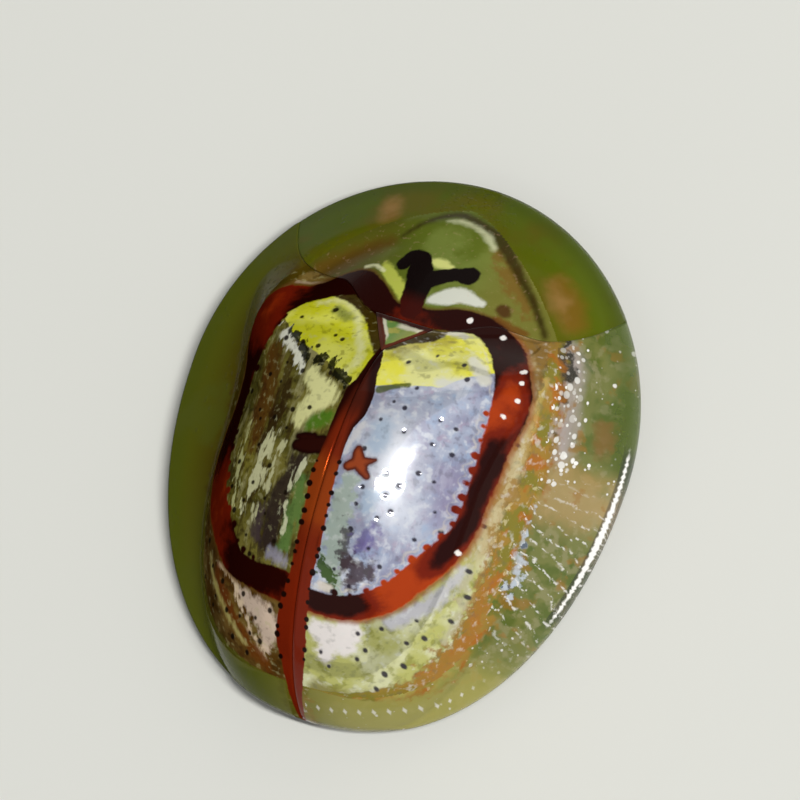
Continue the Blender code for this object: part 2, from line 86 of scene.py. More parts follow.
# The swelling behind each front corner: x, y, reach and height
SHOULDER = (1.5, -1.05, 0.55, 0.12)
FOOT_BLEND = 0.4
BASE_STEP = 0.015
BASE_REACH = 0.9
HOOD_Y = -1.25
HOOD_LENGTH = 1.75
HOOD_HALF_WIDTH = 1.9
HOOD_ARCH_POWER = 1.4
HOOD_FOOT = 0.5
HOOD_HEIGHT = 1.02
HOOD_FALL = 3.0
HOOD_RIDGE_POWERS = (1.2, 0.95)
HOOD_SIDE_POWERS = (2.2, 0.75)
HOOD_BLEND = 0.14
SEAM_MIDDLE_Y = -1.5
# The lobe of the pronotum's hind edge, where its sides rise and end, and how far the corners sweep forward
LOBE_DEPTH = 0.3
LOBE_SIDES = (0.45, 1.1)
CORNER_SWEEP = 0.5
SEAM_GAP = 0.005
SUTURE_GAP = 0.01
SHIELD_HALF_WIDTH = 0.4
SHIELD_APEX_Y = -1.03
SHIELD_THICKNESS = 0.3
# How high the shield's border rises and how far it goes inward, then the same for the dip inside it
SHIELD_BORDER = (0.03, 0.06)
SHIELD_DIP = (0.012, 0.16)
# How much of a wing case's points across lie beside the shield
SHIELD_EDGE_SHARE = 0.16
EDGE_ROUND = 0.03
EDGE_STEPS = 4
PIT_DEPTH = 0.008
SUTURE_ROLL = 0.012
SUTURE_ROLL_WIDTH = 0.02
HOOD_REACH = 1.3
# A plate is clear where its distance into the disc or the hood is below these. Past this layer, 0 on top and
# 1 underneath, it is an inner face
CLEAR_FROM = -0.12
HOOD_CLEAR_FROM = -0.1
INNER_FROM = 0.6

# How finely each plate is drawn: points along it and across it
CASE_GRID = (270, 170)
PRONOTUM_GRID = (90, 300)
SHIELD_GRID = (40, 40)
BODY_GRID = (220, 90)

# The tables down to GLINTS were measured in the photo. Places and widths are in hundredths of a millimetre
FINE = 0.01
# The dark ring on each side: reach from the suture, y, half width, and how red it is in hundredths at its
# inner edge, in its middle and at its outer edge
RING = {
    "right": (
        (0, -160, 12, 50, 40, 10), (30, -162, 13, 30, 20, 0), (60, -170, 16, 10, 0, 0),
        (90, -173, 15, 0, 0, 5), (120, -161, 16, 0, 0, 20), (147, -138, 18, 0, 15, 35),
        (166, -110, 19, 10, 75, 15), (171, -82, 18, 80, 85, 10), (170, -60, 15.5, 90, 60, 15),
        (168, -37, 14, 90, 15, 40), (167, -10, 12.5, 70, 0, 50), (166, 15, 11.5, 50, 0, 40),
        (165, 40, 11, 50, 0, 40), (164, 65, 11, 50, 0, 40), (158, 95, 12.5, 70, 0, 80),
        (145, 125, 15, 90, 15, 100), (129, 155, 15, 100, 90, 100), (110, 183, 15.5, 100, 95, 100),
        (80, 207, 15, 20, 20, 80), (50, 216, 14, 0, 0, 60), (20, 217, 14, 10, 10, 50),
        (0, 217, 14, 50, 50, 50),
    ),
    "left": (
        (0, -160, 12, 50, 40, 10), (25, -158, 13, 30, 20, 0), (45, -166, 17, 10, 0, 0),
        (65, -177, 18, 0, 0, 0), (83, -181, 19, 0, 0, 0), (103, -173, 17, 0, 0, 0), (122, -160, 16, 0, 0, 10),
        (142, -145, 17, 0, 10, 30), (165, -127, 27, 10, 60, 60), (175, -102, 31, 20, 70, 30),
        (178, -72, 25, 20, 35, 10), (176, -40, 16, 20, 10, 0), (177, 0, 14, 10, 10, 0),
        (179, 35, 18, 10, 0, 0), (179, 65, 21, 20, 10, 0), (175, 95, 23, 60, 40, 30),
        (162, 125, 21, 60, 60, 50), (140, 153, 20, 40, 60, 70), (120, 177, 19, 10, 30, 50),
        (98, 198, 17, 0, 0, 20), (68, 207, 16.5, 0, 0, 20), (35, 210, 19, 10, 0, 30),
        (0, 212, 18, 40, 40, 40),
    ),
}
# The suture's stripe on each side: y and half width
STRIPE = {
    "right": (
        (-106, 3), (-90, 10), (-60, 19), (-40, 25), (-15, 24), (5, 16), (50, 15), (100, 18), (155, 20),
        (200, 17), (260, 19), (300, 16), (330, 10), (350, 5),
    ),
    "left": (
        (-106, 3), (-85, 5), (-60, 7), (-40, 13), (30, 14), (60, 17), (85, 17), (105, 14), (160, 13),
        (200, 15), (240, 22), (275, 22), (300, 14), (330, 8), (350, 4),
    ),
}
# The hind border of the gold, which is partly painted reflection: reach from the suture and y
GOLD_BORDER = {
    "right": ((0, -52), (30, -60), (95, -80), (120, -104), (160, -130)),
    "left": ((0, -42), (40, -62), (75, -76), (110, -85), (130, -100), (160, -120)),
}
# Black marks as fat lines of x, y and radius: on the pronotum, and by the suture on each side
MARKS = (
    ((41, -221, 10), (36, -234, 9), (23, -234, 11), (17, -220, 16),
        (8, -201, 17), (5, -183, 16), (0, -167, 14)),
    ((17, -210, 13), (0, -210, 13), (-20, -222, 10), (-33, -228, 10), (-43, -230, 13)),
)
CROSSES = {
    "right": (((31, 25, 5), (37, 41, 10), (51, 54, 5)), ((55, 32, 3), (37, 41, 8), (26, 49, 7))),
    "left": (((47, 42, 9), (33, 38, 12), (15, 33, 12)), ((50, 32, 5), (30, 28, 7))),
}
# Painted reflections and highlights, among patches of own colour: each patch's colour, raggedness and
# softness in mm, cover, and fat line
SHEEN_AND_PATCHES = {
    "right": (
        ("#8c7428", 0.2, 0.06, 0.5, ((17, -105, 6), (32, -120, 7), (54, -134, 7), (70, -143, 6))),
        ("#aea854", 0.3, 0.06, 0.3, ((60, -128, 10), (79, -132, 12), (95, -131, 8), (104, -114, 7),
            (87, -117, 7))),
        ("#efecd2", 0.03, 0.02, 0.95, ((56, -151, 3), (68, -155, 4.5), (80, -153, 4))),
        ("#e8e6d6", 0.08, 0.03, 0.9, ((110, -126, 5), (126, -116, 8), (138, -105, 6))),
        ("#4f5a14", 0.03, 0.015, 0.9, ((27, -53, 5), (43, -63, 3.5), (58, -70, 3))),
        ("#e4e4e8", 0.1, 0.05, 0.7, ((91, -86, 6), (108, -90, 6), (123, -99, 6))),
        ("#9a8eae", 0.3, 0.12, 0.6, ((137, 24, 15), (139, 50, 13), (136, 77, 11))),
        ("#f4f7fd", 0.3, 0.3, 0.85, ((60, -10, 25), (75, 30, 30), (95, 85, 20))),
        ("#a9c4dd", 0.2, 0.08, 0.6, ((50, -9, 13), (52, 13, 12))),
        ("#a9c4dd", 0.2, 0.06, 0.6, ((62, 76, 10), (64, 90, 8))),
        ("#b4c3b0", 0.4, 0.05, 0.85, ((35, 62, 9), (33, 85, 13), (35, 110, 15), (36, 135, 15), (38, 159, 14),
            (42, 182, 12), (50, 196, 7))),
        ("#443a40", 0.5, 0.04, 0.8, ((47, 115, 2), (50, 145, 5), (56, 172, 6))),
        ("#3f5a20", 0.5, 0.03, 0.95, ((25, 173, 7), (34, 181, 8), (41, 189, 6))),
        ("#6c5f9c", 0.4, 0.07, 0.8, ((72, 125, 10), (66, 137, 8), (76, 114, 7))),
        ("#4e3c42", 0.4, 0.05, 0.9, ((59, 162, 10), (70, 170, 12), (84, 162, 10), (64, 182, 8))),
        ("#eadfd2", 0.08, 0.03, 0.9, ((28, 196, 5), (41, 198, 5))),
        ("#e9e6e6", 0.1, 0.02, 0.9, ((27, -10, 3), (20, 15, 4), (17, 33, 3))),
        ("#fbf3f0", 0.2, 0.05, 0.95, ((32, 248, 12), (48, 251, 16), (67, 251, 13), (71, 233, 11),
            (43, 270, 11))),
        ("#c9c7d0", 0.15, 0.05, 0.85, ((115, 212, 7), (146, 179, 8), (162, 150, 6), (172, 120, 5))),
        ("#a0702c", 0.5, 0.05, 0.7, ((187, 80, 3), (188, 120, 6), (188, 160, 10), (180, 205, 10),
            (166, 240, 8), (135, 280, 4))),
        ("#c4c09c", 0.2, 0.03, 0.85, ((178, 87, 1), (178, 125, 3), (176, 165, 3), (166, 210, 2))),
        ("#7d7420", 0.1, 0.06, 0.85, ((30, 315, 10), (72, 314, 10), (116, 298, 8), (140, 278, 6))),
        ("#8f6a20", 0.08, 0.03, 0.9, ((132, -168, 8), (146, -168, 10), (162, -168, 8), (178, -150, 6))),
        ("#c0a460", 0.06, 0.02, 0.6, ((190, -135, 3), (194, -80, 3), (192, -30, 3))),
        ("#d8cca0", 0.5, 0.03, 0.5, ((192, -60, 0), (186, 0, 1), (184, 70, 1), (180, 120, 0))),
        ("#2c0c06", 0.05, 0.02, 0.95, ((5, -110, 6), (20, -127, 8), (41, -140, 9), (50, -148, 8))),
    ),
    "left": (
        ("#e9e8b4", 0.15, 0.06, 0.65, ((112, -140, 2), (91, -152, 3), (69, -146, 4), (56, -136, 4),
            (36, -112, 5), (24, -96, 5), (18, -80, 5), (26, -60, 3))),
        ("#7c8440", 0.1, 0.05, 0.8, ((85, -138, 6), (66, -132, 7))),
        ("#5a3c16", 0.3, 0.06, 0.9, ((132, -63, 12), (126, -34, 16), (122, -2, 17), (120, 31, 14),
            (115, 60, 8))),
        ("#33200f", 0.3, 0.05, 0.85, ((94, -33, 6), (91, 0, 10), (95, 33, 11), (100, 60, 8))),
        ("#e8e6a0", 0.25, 0.05, 0.95, ((67, -50, 8), (52, -36, 14), (37, -27, 17), (49, -10, 14),
            (58, 12, 9))),
        ("#4f7a1e", 0.15, 0.05, 0.9, ((20, -4, 8), (33, 8, 10), (42, 16, 6))),
        ("#352a24", 0.3, 0.06, 0.95, ((40, 58, 9), (46, 81, 13), (50, 114, 16), (51, 146, 16),
            (52, 171, 12))),
        ("#4a3c3e", 0.3, 0.06, 0.85, ((75, 130, 10), (72, 160, 10))),
        ("#5f8040", 0.25, 0.05, 0.85, ((27, 80, 6), (26, 108, 10), (27, 140, 10), (28, 165, 7))),
        ("#e0deac", 0.5, 0.03, 0.95, ((88, 20, 0), (92, 59, 5), (94, 98, 6), (100, 130, 3))),
        ("#d0ce9c", 0.5, 0.03, 0.9, ((68, 42, 0), (75, 60, 4), (76, 90, 4), (86, 150, 2))),
        ("#c4c48c", 0.5, 0.03, 0.85, ((136, 30, 0), (134, 80, 3), (120, 130, 2))),
        ("#d8d8b0", 0.5, 0.03, 0.85, ((30, 66, 2), (40, 95, 0), (36, 150, 0))),
        ("#9a96a4", 0.2, 0.05, 0.85, ((26, 182, 7), (44, 179, 7))),
        ("#ecebd6", 0.4, 0.03, 0.95, ((134, -93, 5), (116, -80, 8), (97, -68, 8), (86, -52, 6))),
        ("#15160a", 0.4, 0.02, 0.95, ((120, -93, 2), (105, -84, 4), (88, -72, 6), (75, -64, 5), (62, -72, 5),
            (46, -68, 6), (34, -58, 7), (22, -52, 7))),
        ("#dcc4ae", 0.3, 0.05, 0.95, ((86, 230, 5), (60, 242, 12), (38, 256, 15), (36, 280, 10))),
        ("#dcc4a4", 0.4, 0.04, 0.9, ((120, 205, 2), (95, 222, 3), (70, 260, 3), (40, 295, 3))),
        ("#6a3c16", 0.2, 0.05, 0.95, ((130, 215, 6), (110, 242, 9), (88, 266, 9), (60, 290, 8),
            (36, 305, 6))),
        ("#b3a96a", 0.12, 0.03, 0.85, ((150, 195, 2), (130, 230, 3), (100, 262, 3), (70, 288, 3))),
        ("#b09a80", 0.05, 0.02, 0.8, ((130, -171, 2), (149, -165, 2), (168, -160, 2))),
        ("#2c0c06", 0.05, 0.02, 0.95, ((2, -102, 7), (20, -122, 8), (40, -143, 9), (70, -156, 7),
            (100, -162, 8))),
    ),
    "neck": (
        ("#5e4010", 0.12, 0.1, 0.75, ((149, -187, 14), (126, -204, 14), (106, -223, 11), (78, -243, 8))),
        ("#76501e", 0.4, 0.07, 0.65, ((-60, -270, 7), (-78, -256, 9), (-100, -233, 9), (-124, -210, 7))),
        ("#b9c050", 0.1, 0.03, 0.9, ((65, -213, 5), (50, -202, 8), (29, -189, 8), (19, -178, 4))),
        ("#dcdcae", 0.05, 0.02, 0.8, ((89, -203, 2), (76, -209, 2.5), (61, -205, 2))),
        ("#cfd27c", 0.08, 0.03, 0.95, ((11, -233, 4), (-3, -235, 6), (-17, -233, 4))),
        ("#d2d3c4", 0.08, 0.03, 0.95, ((-19, -186, 6), (-31, -194, 10), (-47, -202, 11), (-63, -201, 7),
            (-75, -200, 4))),
        ("#33280a", 0.06, 0.05, 0.9, ((65, -257, 2), (47, -280, 3), (29, -296, 4), (6, -304, 5),
            (-25, -298, 6), (-51, -289, 8), (-75, -271, 8), (-98, -250, 6), (-127, -223, 5), (-147, -199, 4),
            (-156, -188, 4))),
        ("#c8caa0", 0.08, 0.04, 0.8, ((20, -291, 2), (4, -296, 3), (-17, -294, 3), (-37, -287, 4),
            (-52, -274, 3))),
        ("#4a2a10", 0.06, 0.03, 0.9, ((-100, -202, 8), (-104, -198, 6))),
        ("#6b3f12", 0.06, 0.03, 0.8, ((-101, -187, 6), (-118, -183, 6), (-134, -183, 4))),
    ),
}
# Amber spots in the clear brim of the pronotum
AMBER_SPOTS = (((107, -290, 12), (100, -280, 12)), ((-142, -255, 12), (-162, -236, 16), (-180, -215, 12)))
# In the clear right brim: a brown spot, and a painted bluish white glint line near the disc
BRIM_SPOT = (((-255, -105, 10), (-260, -90, 12), (-260, -75, 8)),)
BRIM_GLINT_LINE = (((-208, 20, 0), (-210, 75, 2), (-214, 100, 4), (-208, 130, 0)),)
# Painted highlights: small white glints on the right half of the ring
GLINTS = (
    (-73, -176, 3.5), (-118, -168, 3.5), (-166, -133, 3.5), (-172, -119, 2.5), (-175, -96, 2.5),
    (-168, -72, 2.5), (-164, 104, 3.5),
)

# Points along the ring, those of them where it has a knot, and a place inside it
RING_POINTS = 300
RING_KNOTS = range(110, 280, 10)
RING_INSIDE = (0.6, 0.4)
# Pits: rows on a wing case, the first row's place and how many would fit across, spacing, radii, and a
# pit's wall from inside its rim to outside
PIT_ROWS = 6
PIT_ROW_START = 0.55
PIT_ROWS_ACROSS = 5.6
PIT_STEP = 0.36
PIT_RADII = (0.022, 0.038)
PIT_WALL = (-0.03, 0.02)
# Where the rows start and end, how far every other row is moved back, and how far pits stray aside and along
PITS_FROM_X = 0.3
PITS_FROM_Y = -1.25
PITS_TO_Y = 3.0
PIT_STAGGER = 0.16
PIT_STRAY = (0.09, 0.13)
# Room between the rows and the foot, room behind the pronotum, and how many of the places have a pit
PIT_ROOM = 0.42
PIT_SEAM_ROOM = 0.25
PIT_SHARE = 0.85
# The close row beside the suture's stripe
STRIPE_PITS_Y = (0.5, 2.95)
STRIPE_PIT_STEP = 0.17
STRIPE_PIT_STRAY = 0.05
STRIPE_PIT_INSET = 0.015
STRIPE_PIT_RADII = (0.02, 0.042)


def colour(code):
    """A colour code of red, green and blue as linear light."""
    shares = [int(code[i:i + 2], 16) / 255 for i in (1, 3, 5)]
    return tuple(s / 12.92 if s <= 0.04045 else ((s + 0.055) / 1.055) ** 2.4 for s in shares) + (1.0,)


def smooth_step(low, high, value):
    share = np.clip((value - low) / (high - low), 0.0, 1.0)
    return share * share * (3 - 2 * share)


def smooth_max(first, second, blend):
    share = np.clip(0.5 + 0.5 * (first - second) / blend, 0.0, 1.0)
    return first * share + second * (1 - share) + blend * share * (1 - share)


def signed_power(value, power):
    return np.sign(value) * np.abs(value) ** power


def outline_part(front):
    """Length and power of the outline in front of its widest line, or behind it."""
    length = np.where(front, WIDEST_Y + HALF_LENGTH, HALF_LENGTH - WIDEST_Y)
    return length, np.where(front, FRONT_POWER, REAR_POWER)


def outline_radius(x, y):
    """0 at the middle of the widest line and 1 on the shell's outline."""
    length, power = outline_part(y < WIDEST_Y)
    return ((np.abs(x) / HALF_WIDTH) ** power + (np.abs(y - WIDEST_Y) / length) ** power) ** (1 / power)


def outline_point(angle):
    """The outline's +X half: -90 degrees is the front and 90 the hind point."""
    length, power = outline_part(angle < 0)
    x = (HALF_WIDTH - EDGE_ROUND) * signed_power(np.cos(angle), 2 / power)
    y = WIDEST_Y + (length - EDGE_ROUND) * signed_power(np.sin(angle), 2 / power)
    return x, y


def seam_y(x):
    """The pronotum's hind edge: a lobe in the middle, swept forward to the corners."""
    reach = np.abs(x)
    start, end = LOBE_SIDES
    y = SEAM_MIDDLE_Y - LOBE_DEPTH * smooth_step(start, end, reach)
    return y - CORNER_SWEEP * (np.maximum(0.0, reach - end) / end) ** 3.5


def brim_top(x, y, level=None):
    rise = BRIM_RISE + (BRIM_RISE_FRONT - BRIM_RISE) * smooth_step(*BRIM_STEEPER, -y)
    height = rise * (1 - outline_radius(x, y))
    if level is not None:
        height = -smooth_max(-height, -level, BRIM_BLEND)
    return RIM_Z + RIM_LIFT * (1 - (y / HALF_LENGTH) ** 2) + height


def brim_thickness(x, y):
    share = np.clip((1 - outline_radius(x, y)) / BRIM_TAPER, 0.0, 1.0)
    return RIM_THICKNESS + (BRIM_THICKNESS - RIM_THICKNESS) * share


def dome(x, y, inset):
    """Height of the domed disc, or of its inner face at a given inset."""
    front = y < DOME_Y
    flare = np.where(front, DOME_FLARE * ((DOME_Y - y) / DOME_FLARE_LENGTH) ** 2, 0.0)
    half_width = DOME_HALF_WIDTH - INSET_WALL * inset + flare
    length = np.where(front, DOME_FRONT - INSET_FRONT * inset, DOME_REAR - INSET_WALL * inset)
    power = np.where(front, DOME_POWER_FRONT, DOME_POWER_REAR)
    radius = ((np.abs(x) / half_width) ** power + (np.abs(y - DOME_Y) / length) ** power) ** (1 / power)
    return (DOME_HEIGHT - inset) * signed_power(1 - radius ** DOME_TOP_POWER, DOME_WALL_POWER)


def hood_radius(x, y):
    """0 at the hood's top and 1 on the edge of its arch."""
    aside, along = np.abs(x) / HOOD_HALF_WIDTH, np.abs(y - HOOD_Y) / HOOD_LENGTH
    return (aside ** HOOD_ARCH_POWER + along ** HOOD_ARCH_POWER) ** (1 / HOOD_ARCH_POWER)


def pronotum_top(x, y):
    """The hood, straight along its middle and round across, over the brim."""
    along = np.abs(y - HOOD_Y) / HOOD_LENGTH
    radius = hood_radius(x, y)
    arch = np.maximum(1e-6, 1 - np.minimum(along, 1.0) ** HOOD_ARCH_POWER) ** (1 / HOOD_ARCH_POWER)
    across = np.minimum(1.0, np.abs(x) / (HOOD_HALF_WIDTH * arch))
    (ridge, ridge_end), (side, side_end) = HOOD_RIDGE_POWERS, HOOD_SIDE_POWERS
    hood = HOOD_HEIGHT * np.maximum(0.0, 1 - along ** ridge) ** ridge_end * (1 - across ** side) ** side_end
    hood = np.where(radius < 1, hood, -HOOD_FALL * (radius - 1))
    return smooth_max(RIM_Z + HOOD_FOOT + hood, brim_top(x, y, BRIM_LEVEL), HOOD_BLEND)


def pronotum_under(x, y):
    return pronotum_top(x, y) - brim_thickness(x, y)


def disc_and_brim(x, y):
    at_x, at_y, reach, height = SHOULDER
    shoulder = height * np.exp(-((np.abs(x) - at_x) ** 2 + (y - at_y) ** 2) / reach ** 2)
    return smooth_max(RIM_Z + dome(x, y, 0.0) + shoulder, brim_top(x, y), FOOT_BLEND)


def case_top(x, y):
    """The disc and the brim, brought down in front to the pronotum's hind edge."""
    seam = seam_y(x)
    drop = disc_and_brim(x, seam) - pronotum_top(x, seam) - BASE_STEP
    return disc_and_brim(x, y) - drop * (1 - smooth_step(0.0, BASE_REACH, y - seam))


def case_under(x, y):
    thin = brim_thickness(x, y)
    free = smooth_max(RIM_Z + dome(x, y, CASE_THICKNESS), brim_top(x, y) - thin, FOOT_BLEND)
    return np.minimum(free, case_top(x, y) - thin)


def curve(points, count):
    """Points read along a smooth curve through the given ones."""
    points = np.array(points, float)
    spans = len(points) - 1
    place = np.linspace(0, spans, count)
    k = np.minimum(spans - 1, place.astype(int))
    t = (place - k)[:, None]
    p0, p1 = points[np.maximum(0, k - 1)], points[k]
    p2, p3 = points[k + 1], points[np.minimum(spans, k + 2)]
    return 0.5 * (2 * p1 + (p2 - p0) * t + (2 * p0 - 5 * p1 + 4 * p2 - p3) * t * t
                  + (3 * p1 - p0 - 3 * p2 + p3) * t ** 3)


def nearest(x, y, rounds):
    """Distance outside the nearest of many rounds (x, y, radius), and which one it is."""
    flat_x, flat_y = x.ravel(), y.ravel()
    distance = np.empty(flat_x.size)
    which = np.empty(flat_x.size, int)
    for start in range(0, flat_x.size, 8000):
        part = slice(start, start + 8000)
        gap = np.hypot(flat_x[part, None] - rounds[:, 0], flat_y[part, None] - rounds[:, 1]) - rounds[:, 2]
        which[part] = gap.argmin(1)
        distance[part] = gap.min(1)
    return distance.reshape(x.shape), which.reshape(x.shape)


def fat_line_gap(x, y, lines):
    """Distance outside the nearest of some fat lines."""
    gap = np.full(x.shape, 9.0)
    for line in lines:
        points = curve(line, 4 * len(line)) * FINE
        for (x0, y0, r0), (ahead_x, ahead_y, wider) in zip(points, np.diff(points, axis=0)):
            share = np.clip(((x - x0) * ahead_x + (y - y0) * ahead_y) / (ahead_x ** 2 + ahead_y ** 2), 0, 1)
            away = np.hypot(x - x0 - ahead_x * share, y - y0 - ahead_y * share)
            gap = np.minimum(gap, away - r0 - wider * share)
    return gap


def foot_curve(y):
    """Half width of the metallic disc at y, from its greatest half width, its length and its power."""
    half_width, length, power = (np.where(y < FOOT_Y, *pair) for pair in zip(FOOT_FRONT, FOOT_REAR))
    return half_width * np.maximum(0.0, 1 - (np.abs(y - FOOT_Y) / length) ** power) ** 0.4


def stripe_half_width(y, side_name):
    points = curve(STRIPE[side_name], 120) * FINE
    return np.interp(y, points[:, 0], points[:, 1])


def pit_places(rng, side_name):
    """Pits scattered in rough rows along the disc, and a close row beside the suture's stripe."""
    places = []
    aside, along = PIT_STRAY
    for row in range(PIT_ROWS):
        share = (row + PIT_ROW_START) / PIT_ROWS_ACROSS
        for y in np.arange(PITS_FROM_Y + PIT_STAGGER * (row % 2), PITS_TO_Y, PIT_STEP):
            spot = y + rng.uniform(-along, along)
            x = PITS_FROM_X + (foot_curve(np.array(spot)) - PIT_ROOM) * share + rng.uniform(-aside, aside)
            behind = spot > seam_y(np.array(x)) + PIT_SEAM_ROOM
            if x > PITS_FROM_X and behind and rng.uniform() < PIT_SHARE:
                places.append((x, spot, rng.uniform(*PIT_RADII)))
    for y in np.arange(*STRIPE_PITS_Y, STRIPE_PIT_STEP):
        spot = y + rng.uniform(-STRIPE_PIT_STRAY, STRIPE_PIT_STRAY)
        x = stripe_half_width(spot, side_name) - STRIPE_PIT_INSET
        places.append((x, spot, rng.uniform(*STRIPE_PIT_RADII)))
    return np.array(places, float)


def marks_at(x, y, side, sheen):
    """Distances in mm, at each place of a plate, that the finishes read to lay out the markings and the
    painted light.
    """
    reach = np.abs(x)
    names = ("ring", "red", "behind", "pit", "cross", "gold", "stripe")
    fields = {name: np.zeros_like(x) for name in names}
    for name, way in SIDES:
        here = (x > 0) == (way * side > 0)
        if not here.any():
            continue
        rng = np.random.default_rng(SEED + way)
        at_x, at_y = reach[here], y[here]
        band = curve(RING[name], RING_POINTS) * FINE
        gap, which = nearest(at_x, at_y, band[:, :3])
        ahead = np.gradient(band[:, :2], axis=0)
        inward = np.stack([-ahead[:, 1], ahead[:, 0]], 1) / np.hypot(*ahead.T)[:, None]
        inward *= -np.sign(np.sum(inward * (band[:, :2] - RING_INSIDE), 1))[:, None]
        lean = np.sum((np.stack([at_x, at_y], 1) - band[which, :2]) * inward[which], 1) / band[which, 2]
        knots = []
        for i in RING_KNOTS:
            spot = band[i, :2] + inward[i] * (band[i, 2] + rng.uniform(-0.02, 0.03))
            knots.append((*spot, rng.uniform(0.03, 0.06)))
        fields["ring"][here] = np.minimum(gap, nearest(at_x, at_y, np.array(knots))[0])
        fields["behind"][here] = -lean * band[which, 2]
        outer = np.clip(lean, -1, 1) ** 2
        at_edge = np.where(lean > 0, band[which, 3], band[which, 5])
        fields["red"][here] = band[which, 4] * (1 - outer) + at_edge * outer
        fields["pit"][here] = nearest(at_x, at_y, pit_places(rng, name))[0]
        fields["cross"][here] = fat_line_gap(at_x, at_y, CROSSES[name])
        fields["gold"][here] = at_y - np.interp(at_x, *(np.array(GOLD_BORDER[name]).T * FINE))
        fields["stripe"][here] = at_x - stripe_half_width(at_y, name)
    fields["glint"] = nearest(side * x, y, np.array(GLINTS) * FINE)[0]
    spots = {"brown": BRIM_SPOT, "crackle": BRIM_GLINT_LINE, "mark": MARKS, "amber": AMBER_SPOTS}
    fields.update((name, fat_line_gap(side * x, y, lines)) for name, lines in spots.items())
    fields["disc"] = foot_curve(y) - reach
    fields["rim"] = (1 - outline_radius(x, y)) * HALF_WIDTH
    fields["around"] = np.arctan2(y - WIDEST_Y, reach) * HALF_WIDTH
    fields["hood"] = (1 - hood_radius(x, y)) * HOOD_REACH
    for k, patch in enumerate(SHEEN_AND_PATCHES[sheen]):
        fields[f"sheen_{k}"] = fat_line_gap(x, y, (patch[-1],))
    return fields


def make_object(name, points, faces, finishes, finish_of_face=None, fields=None, slot=None, stands_for=()):
    """A named, smooth piece of the beetle from points in millimetres."""
    mesh = bpy.data.meshes.new(name)
    mesh.from_pydata((np.asarray(points) * MM).tolist(), [], faces)
    for finish in finishes:
        mesh.materials.append(finish)
    if finish_of_face is not None:
        mesh.polygons.foreach_set("material_index", np.asarray(finish_of_face, np.int32))
    for key, values in (fields or {}).items():
        layer = mesh.attributes.new(key, "FLOAT", "POINT")
        layer.data.foreach_set("value", np.asarray(values, np.float32))
    mesh.shade_smooth()
    mesh.update()
    obj = bpy.data.objects.new(name, mesh)
    bpy.context.scene.collection.objects.link(obj)
    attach(obj, "root")
    if stands_for:
        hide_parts(*stands_for)
    return obj


def plate(name, x, y, top, under, fields, round_edge, finishes, clear=None, **facts):
    """A closed plate over a grid of places. A last row that is one point makes a pointed end.

    Of three finishes the second goes where the laid-out distance that clear names is below its limit, and
    the third on the inner face.
    """
    rows, columns = x.shape
    upper = np.arange(rows * columns).reshape(rows, columns)
    pointed = np.ptp(x[-1]) < 1e-9
    if pointed:
        upper[-1] = upper[-1, 0]
    border = [(0, j) for j in range(columns)] + [(i, columns - 1) for i in range(1, rows)]
    if not pointed:
        border += [(rows - 1, j) for j in range(columns - 2, -1, -1)]
    border += [(i, 0) for i in range(rows - 2, 0, -1)]
    at = tuple(np.array(border).T)
    px, py = x[at], y[at]
    way = np.sign(np.sum(px * np.roll(py, -1) - np.roll(px, -1) * py))
    ahead_x, ahead_y = np.roll(px, -1) - np.roll(px, 1), np.roll(py, -1) - np.roll(py, 1)
    length = np.maximum(1e-9, np.hypot(ahead_x, ahead_y))
    out_x, out_y = way * ahead_y / length, -way * ahead_x / length
    lower = upper + rows * columns
    points = [np.stack([x.ravel(), y.ravel(), z.ravel()], 1) for z in (top, under)]
    loops = [upper[at]]
    middle, half = (top[at] + under[at]) / 2, (top[at] - under[at]) / 2
    for step in range(1, EDGE_STEPS):
        angle = math.pi * step / EDGE_STEPS
        offset = round_edge[at] * math.sin(angle)
        height = middle + half * math.cos(angle)
        points.append(np.stack([px + out_x * offset, py + out_y * offset, height], 1))
        loops.append(2 * rows * columns + (step - 1) * len(border) + np.arange(len(border)))
    loops.append(lower[at])
    quads = []
    for layer, flip in ((upper, False), (lower, True)):
        quad = np.stack([layer[:-1, :-1], layer[:-1, 1:], layer[1:, 1:], layer[1:, :-1]], -1).reshape(-1, 4)
        quads.append(quad[:, ::-1] if flip else quad)
    for first, second in zip(loops, loops[1:]):
        quads.append(np.stack([first, second, np.roll(second, -1), np.roll(first, -1)], 1))
    quads = np.concatenate(quads)
    if way < 0:
        quads = quads[:, ::-1]
    faces = [tuple(dict.fromkeys(quad)) for quad in quads.tolist()]
    faces = [face for face in faces if len(face) > 2]
    values = {}
    layer = [np.zeros(rows * columns), np.ones(rows * columns)]
    layer += [np.full(len(border), step / EDGE_STEPS) for step in range(1, EDGE_STEPS)]
    for key, grid in fields.items():
        values[key] = np.concatenate([grid.ravel()] * 2 + [grid[at]] * (EDGE_STEPS - 1))
    values["layer"] = np.concatenate(layer)
    points = np.concatenate(points)
    used = np.zeros(len(points), bool)
    used[np.concatenate([np.array(face) for face in faces])] = True
    renumber = np.cumsum(used) - 1
    faces = [tuple(renumber[list(face)].tolist()) for face in faces]
    values = {key: value[used] for key, value in values.items()}
    chosen = None
    if clear:
        key, limit = clear
        into, layer = (np.array([values[k][list(face)].mean() for face in faces]) for k in (key, "layer"))
        chosen = np.where(into < limit, 1, np.where(layer > INNER_FROM, 2, 0))
    return make_object(name, points[used], faces, finishes, chosen, values, **facts)


def shares(size, first=-1):
    """Shares along a plate, from 0 to 1, and across it, from the first to 1."""
    return np.linspace(0, 1, size[0])[:, None], np.linspace(first, 1, size[1])[None, :]


def between(first, second, share):
    return tuple(a + (b - a) * share for a, b in zip(first, second))


def corner_angle(offset):
    """The outline's angle where the seam, moved back by offset, meets it."""
    low, high = -math.pi / 2, 0.0
    for _ in range(40):
        middle = (low + high) / 2
        x, y = outline_point(np.array(middle))
        low, high = (middle, high) if y < seam_y(x) + offset else (low, middle)
    return low


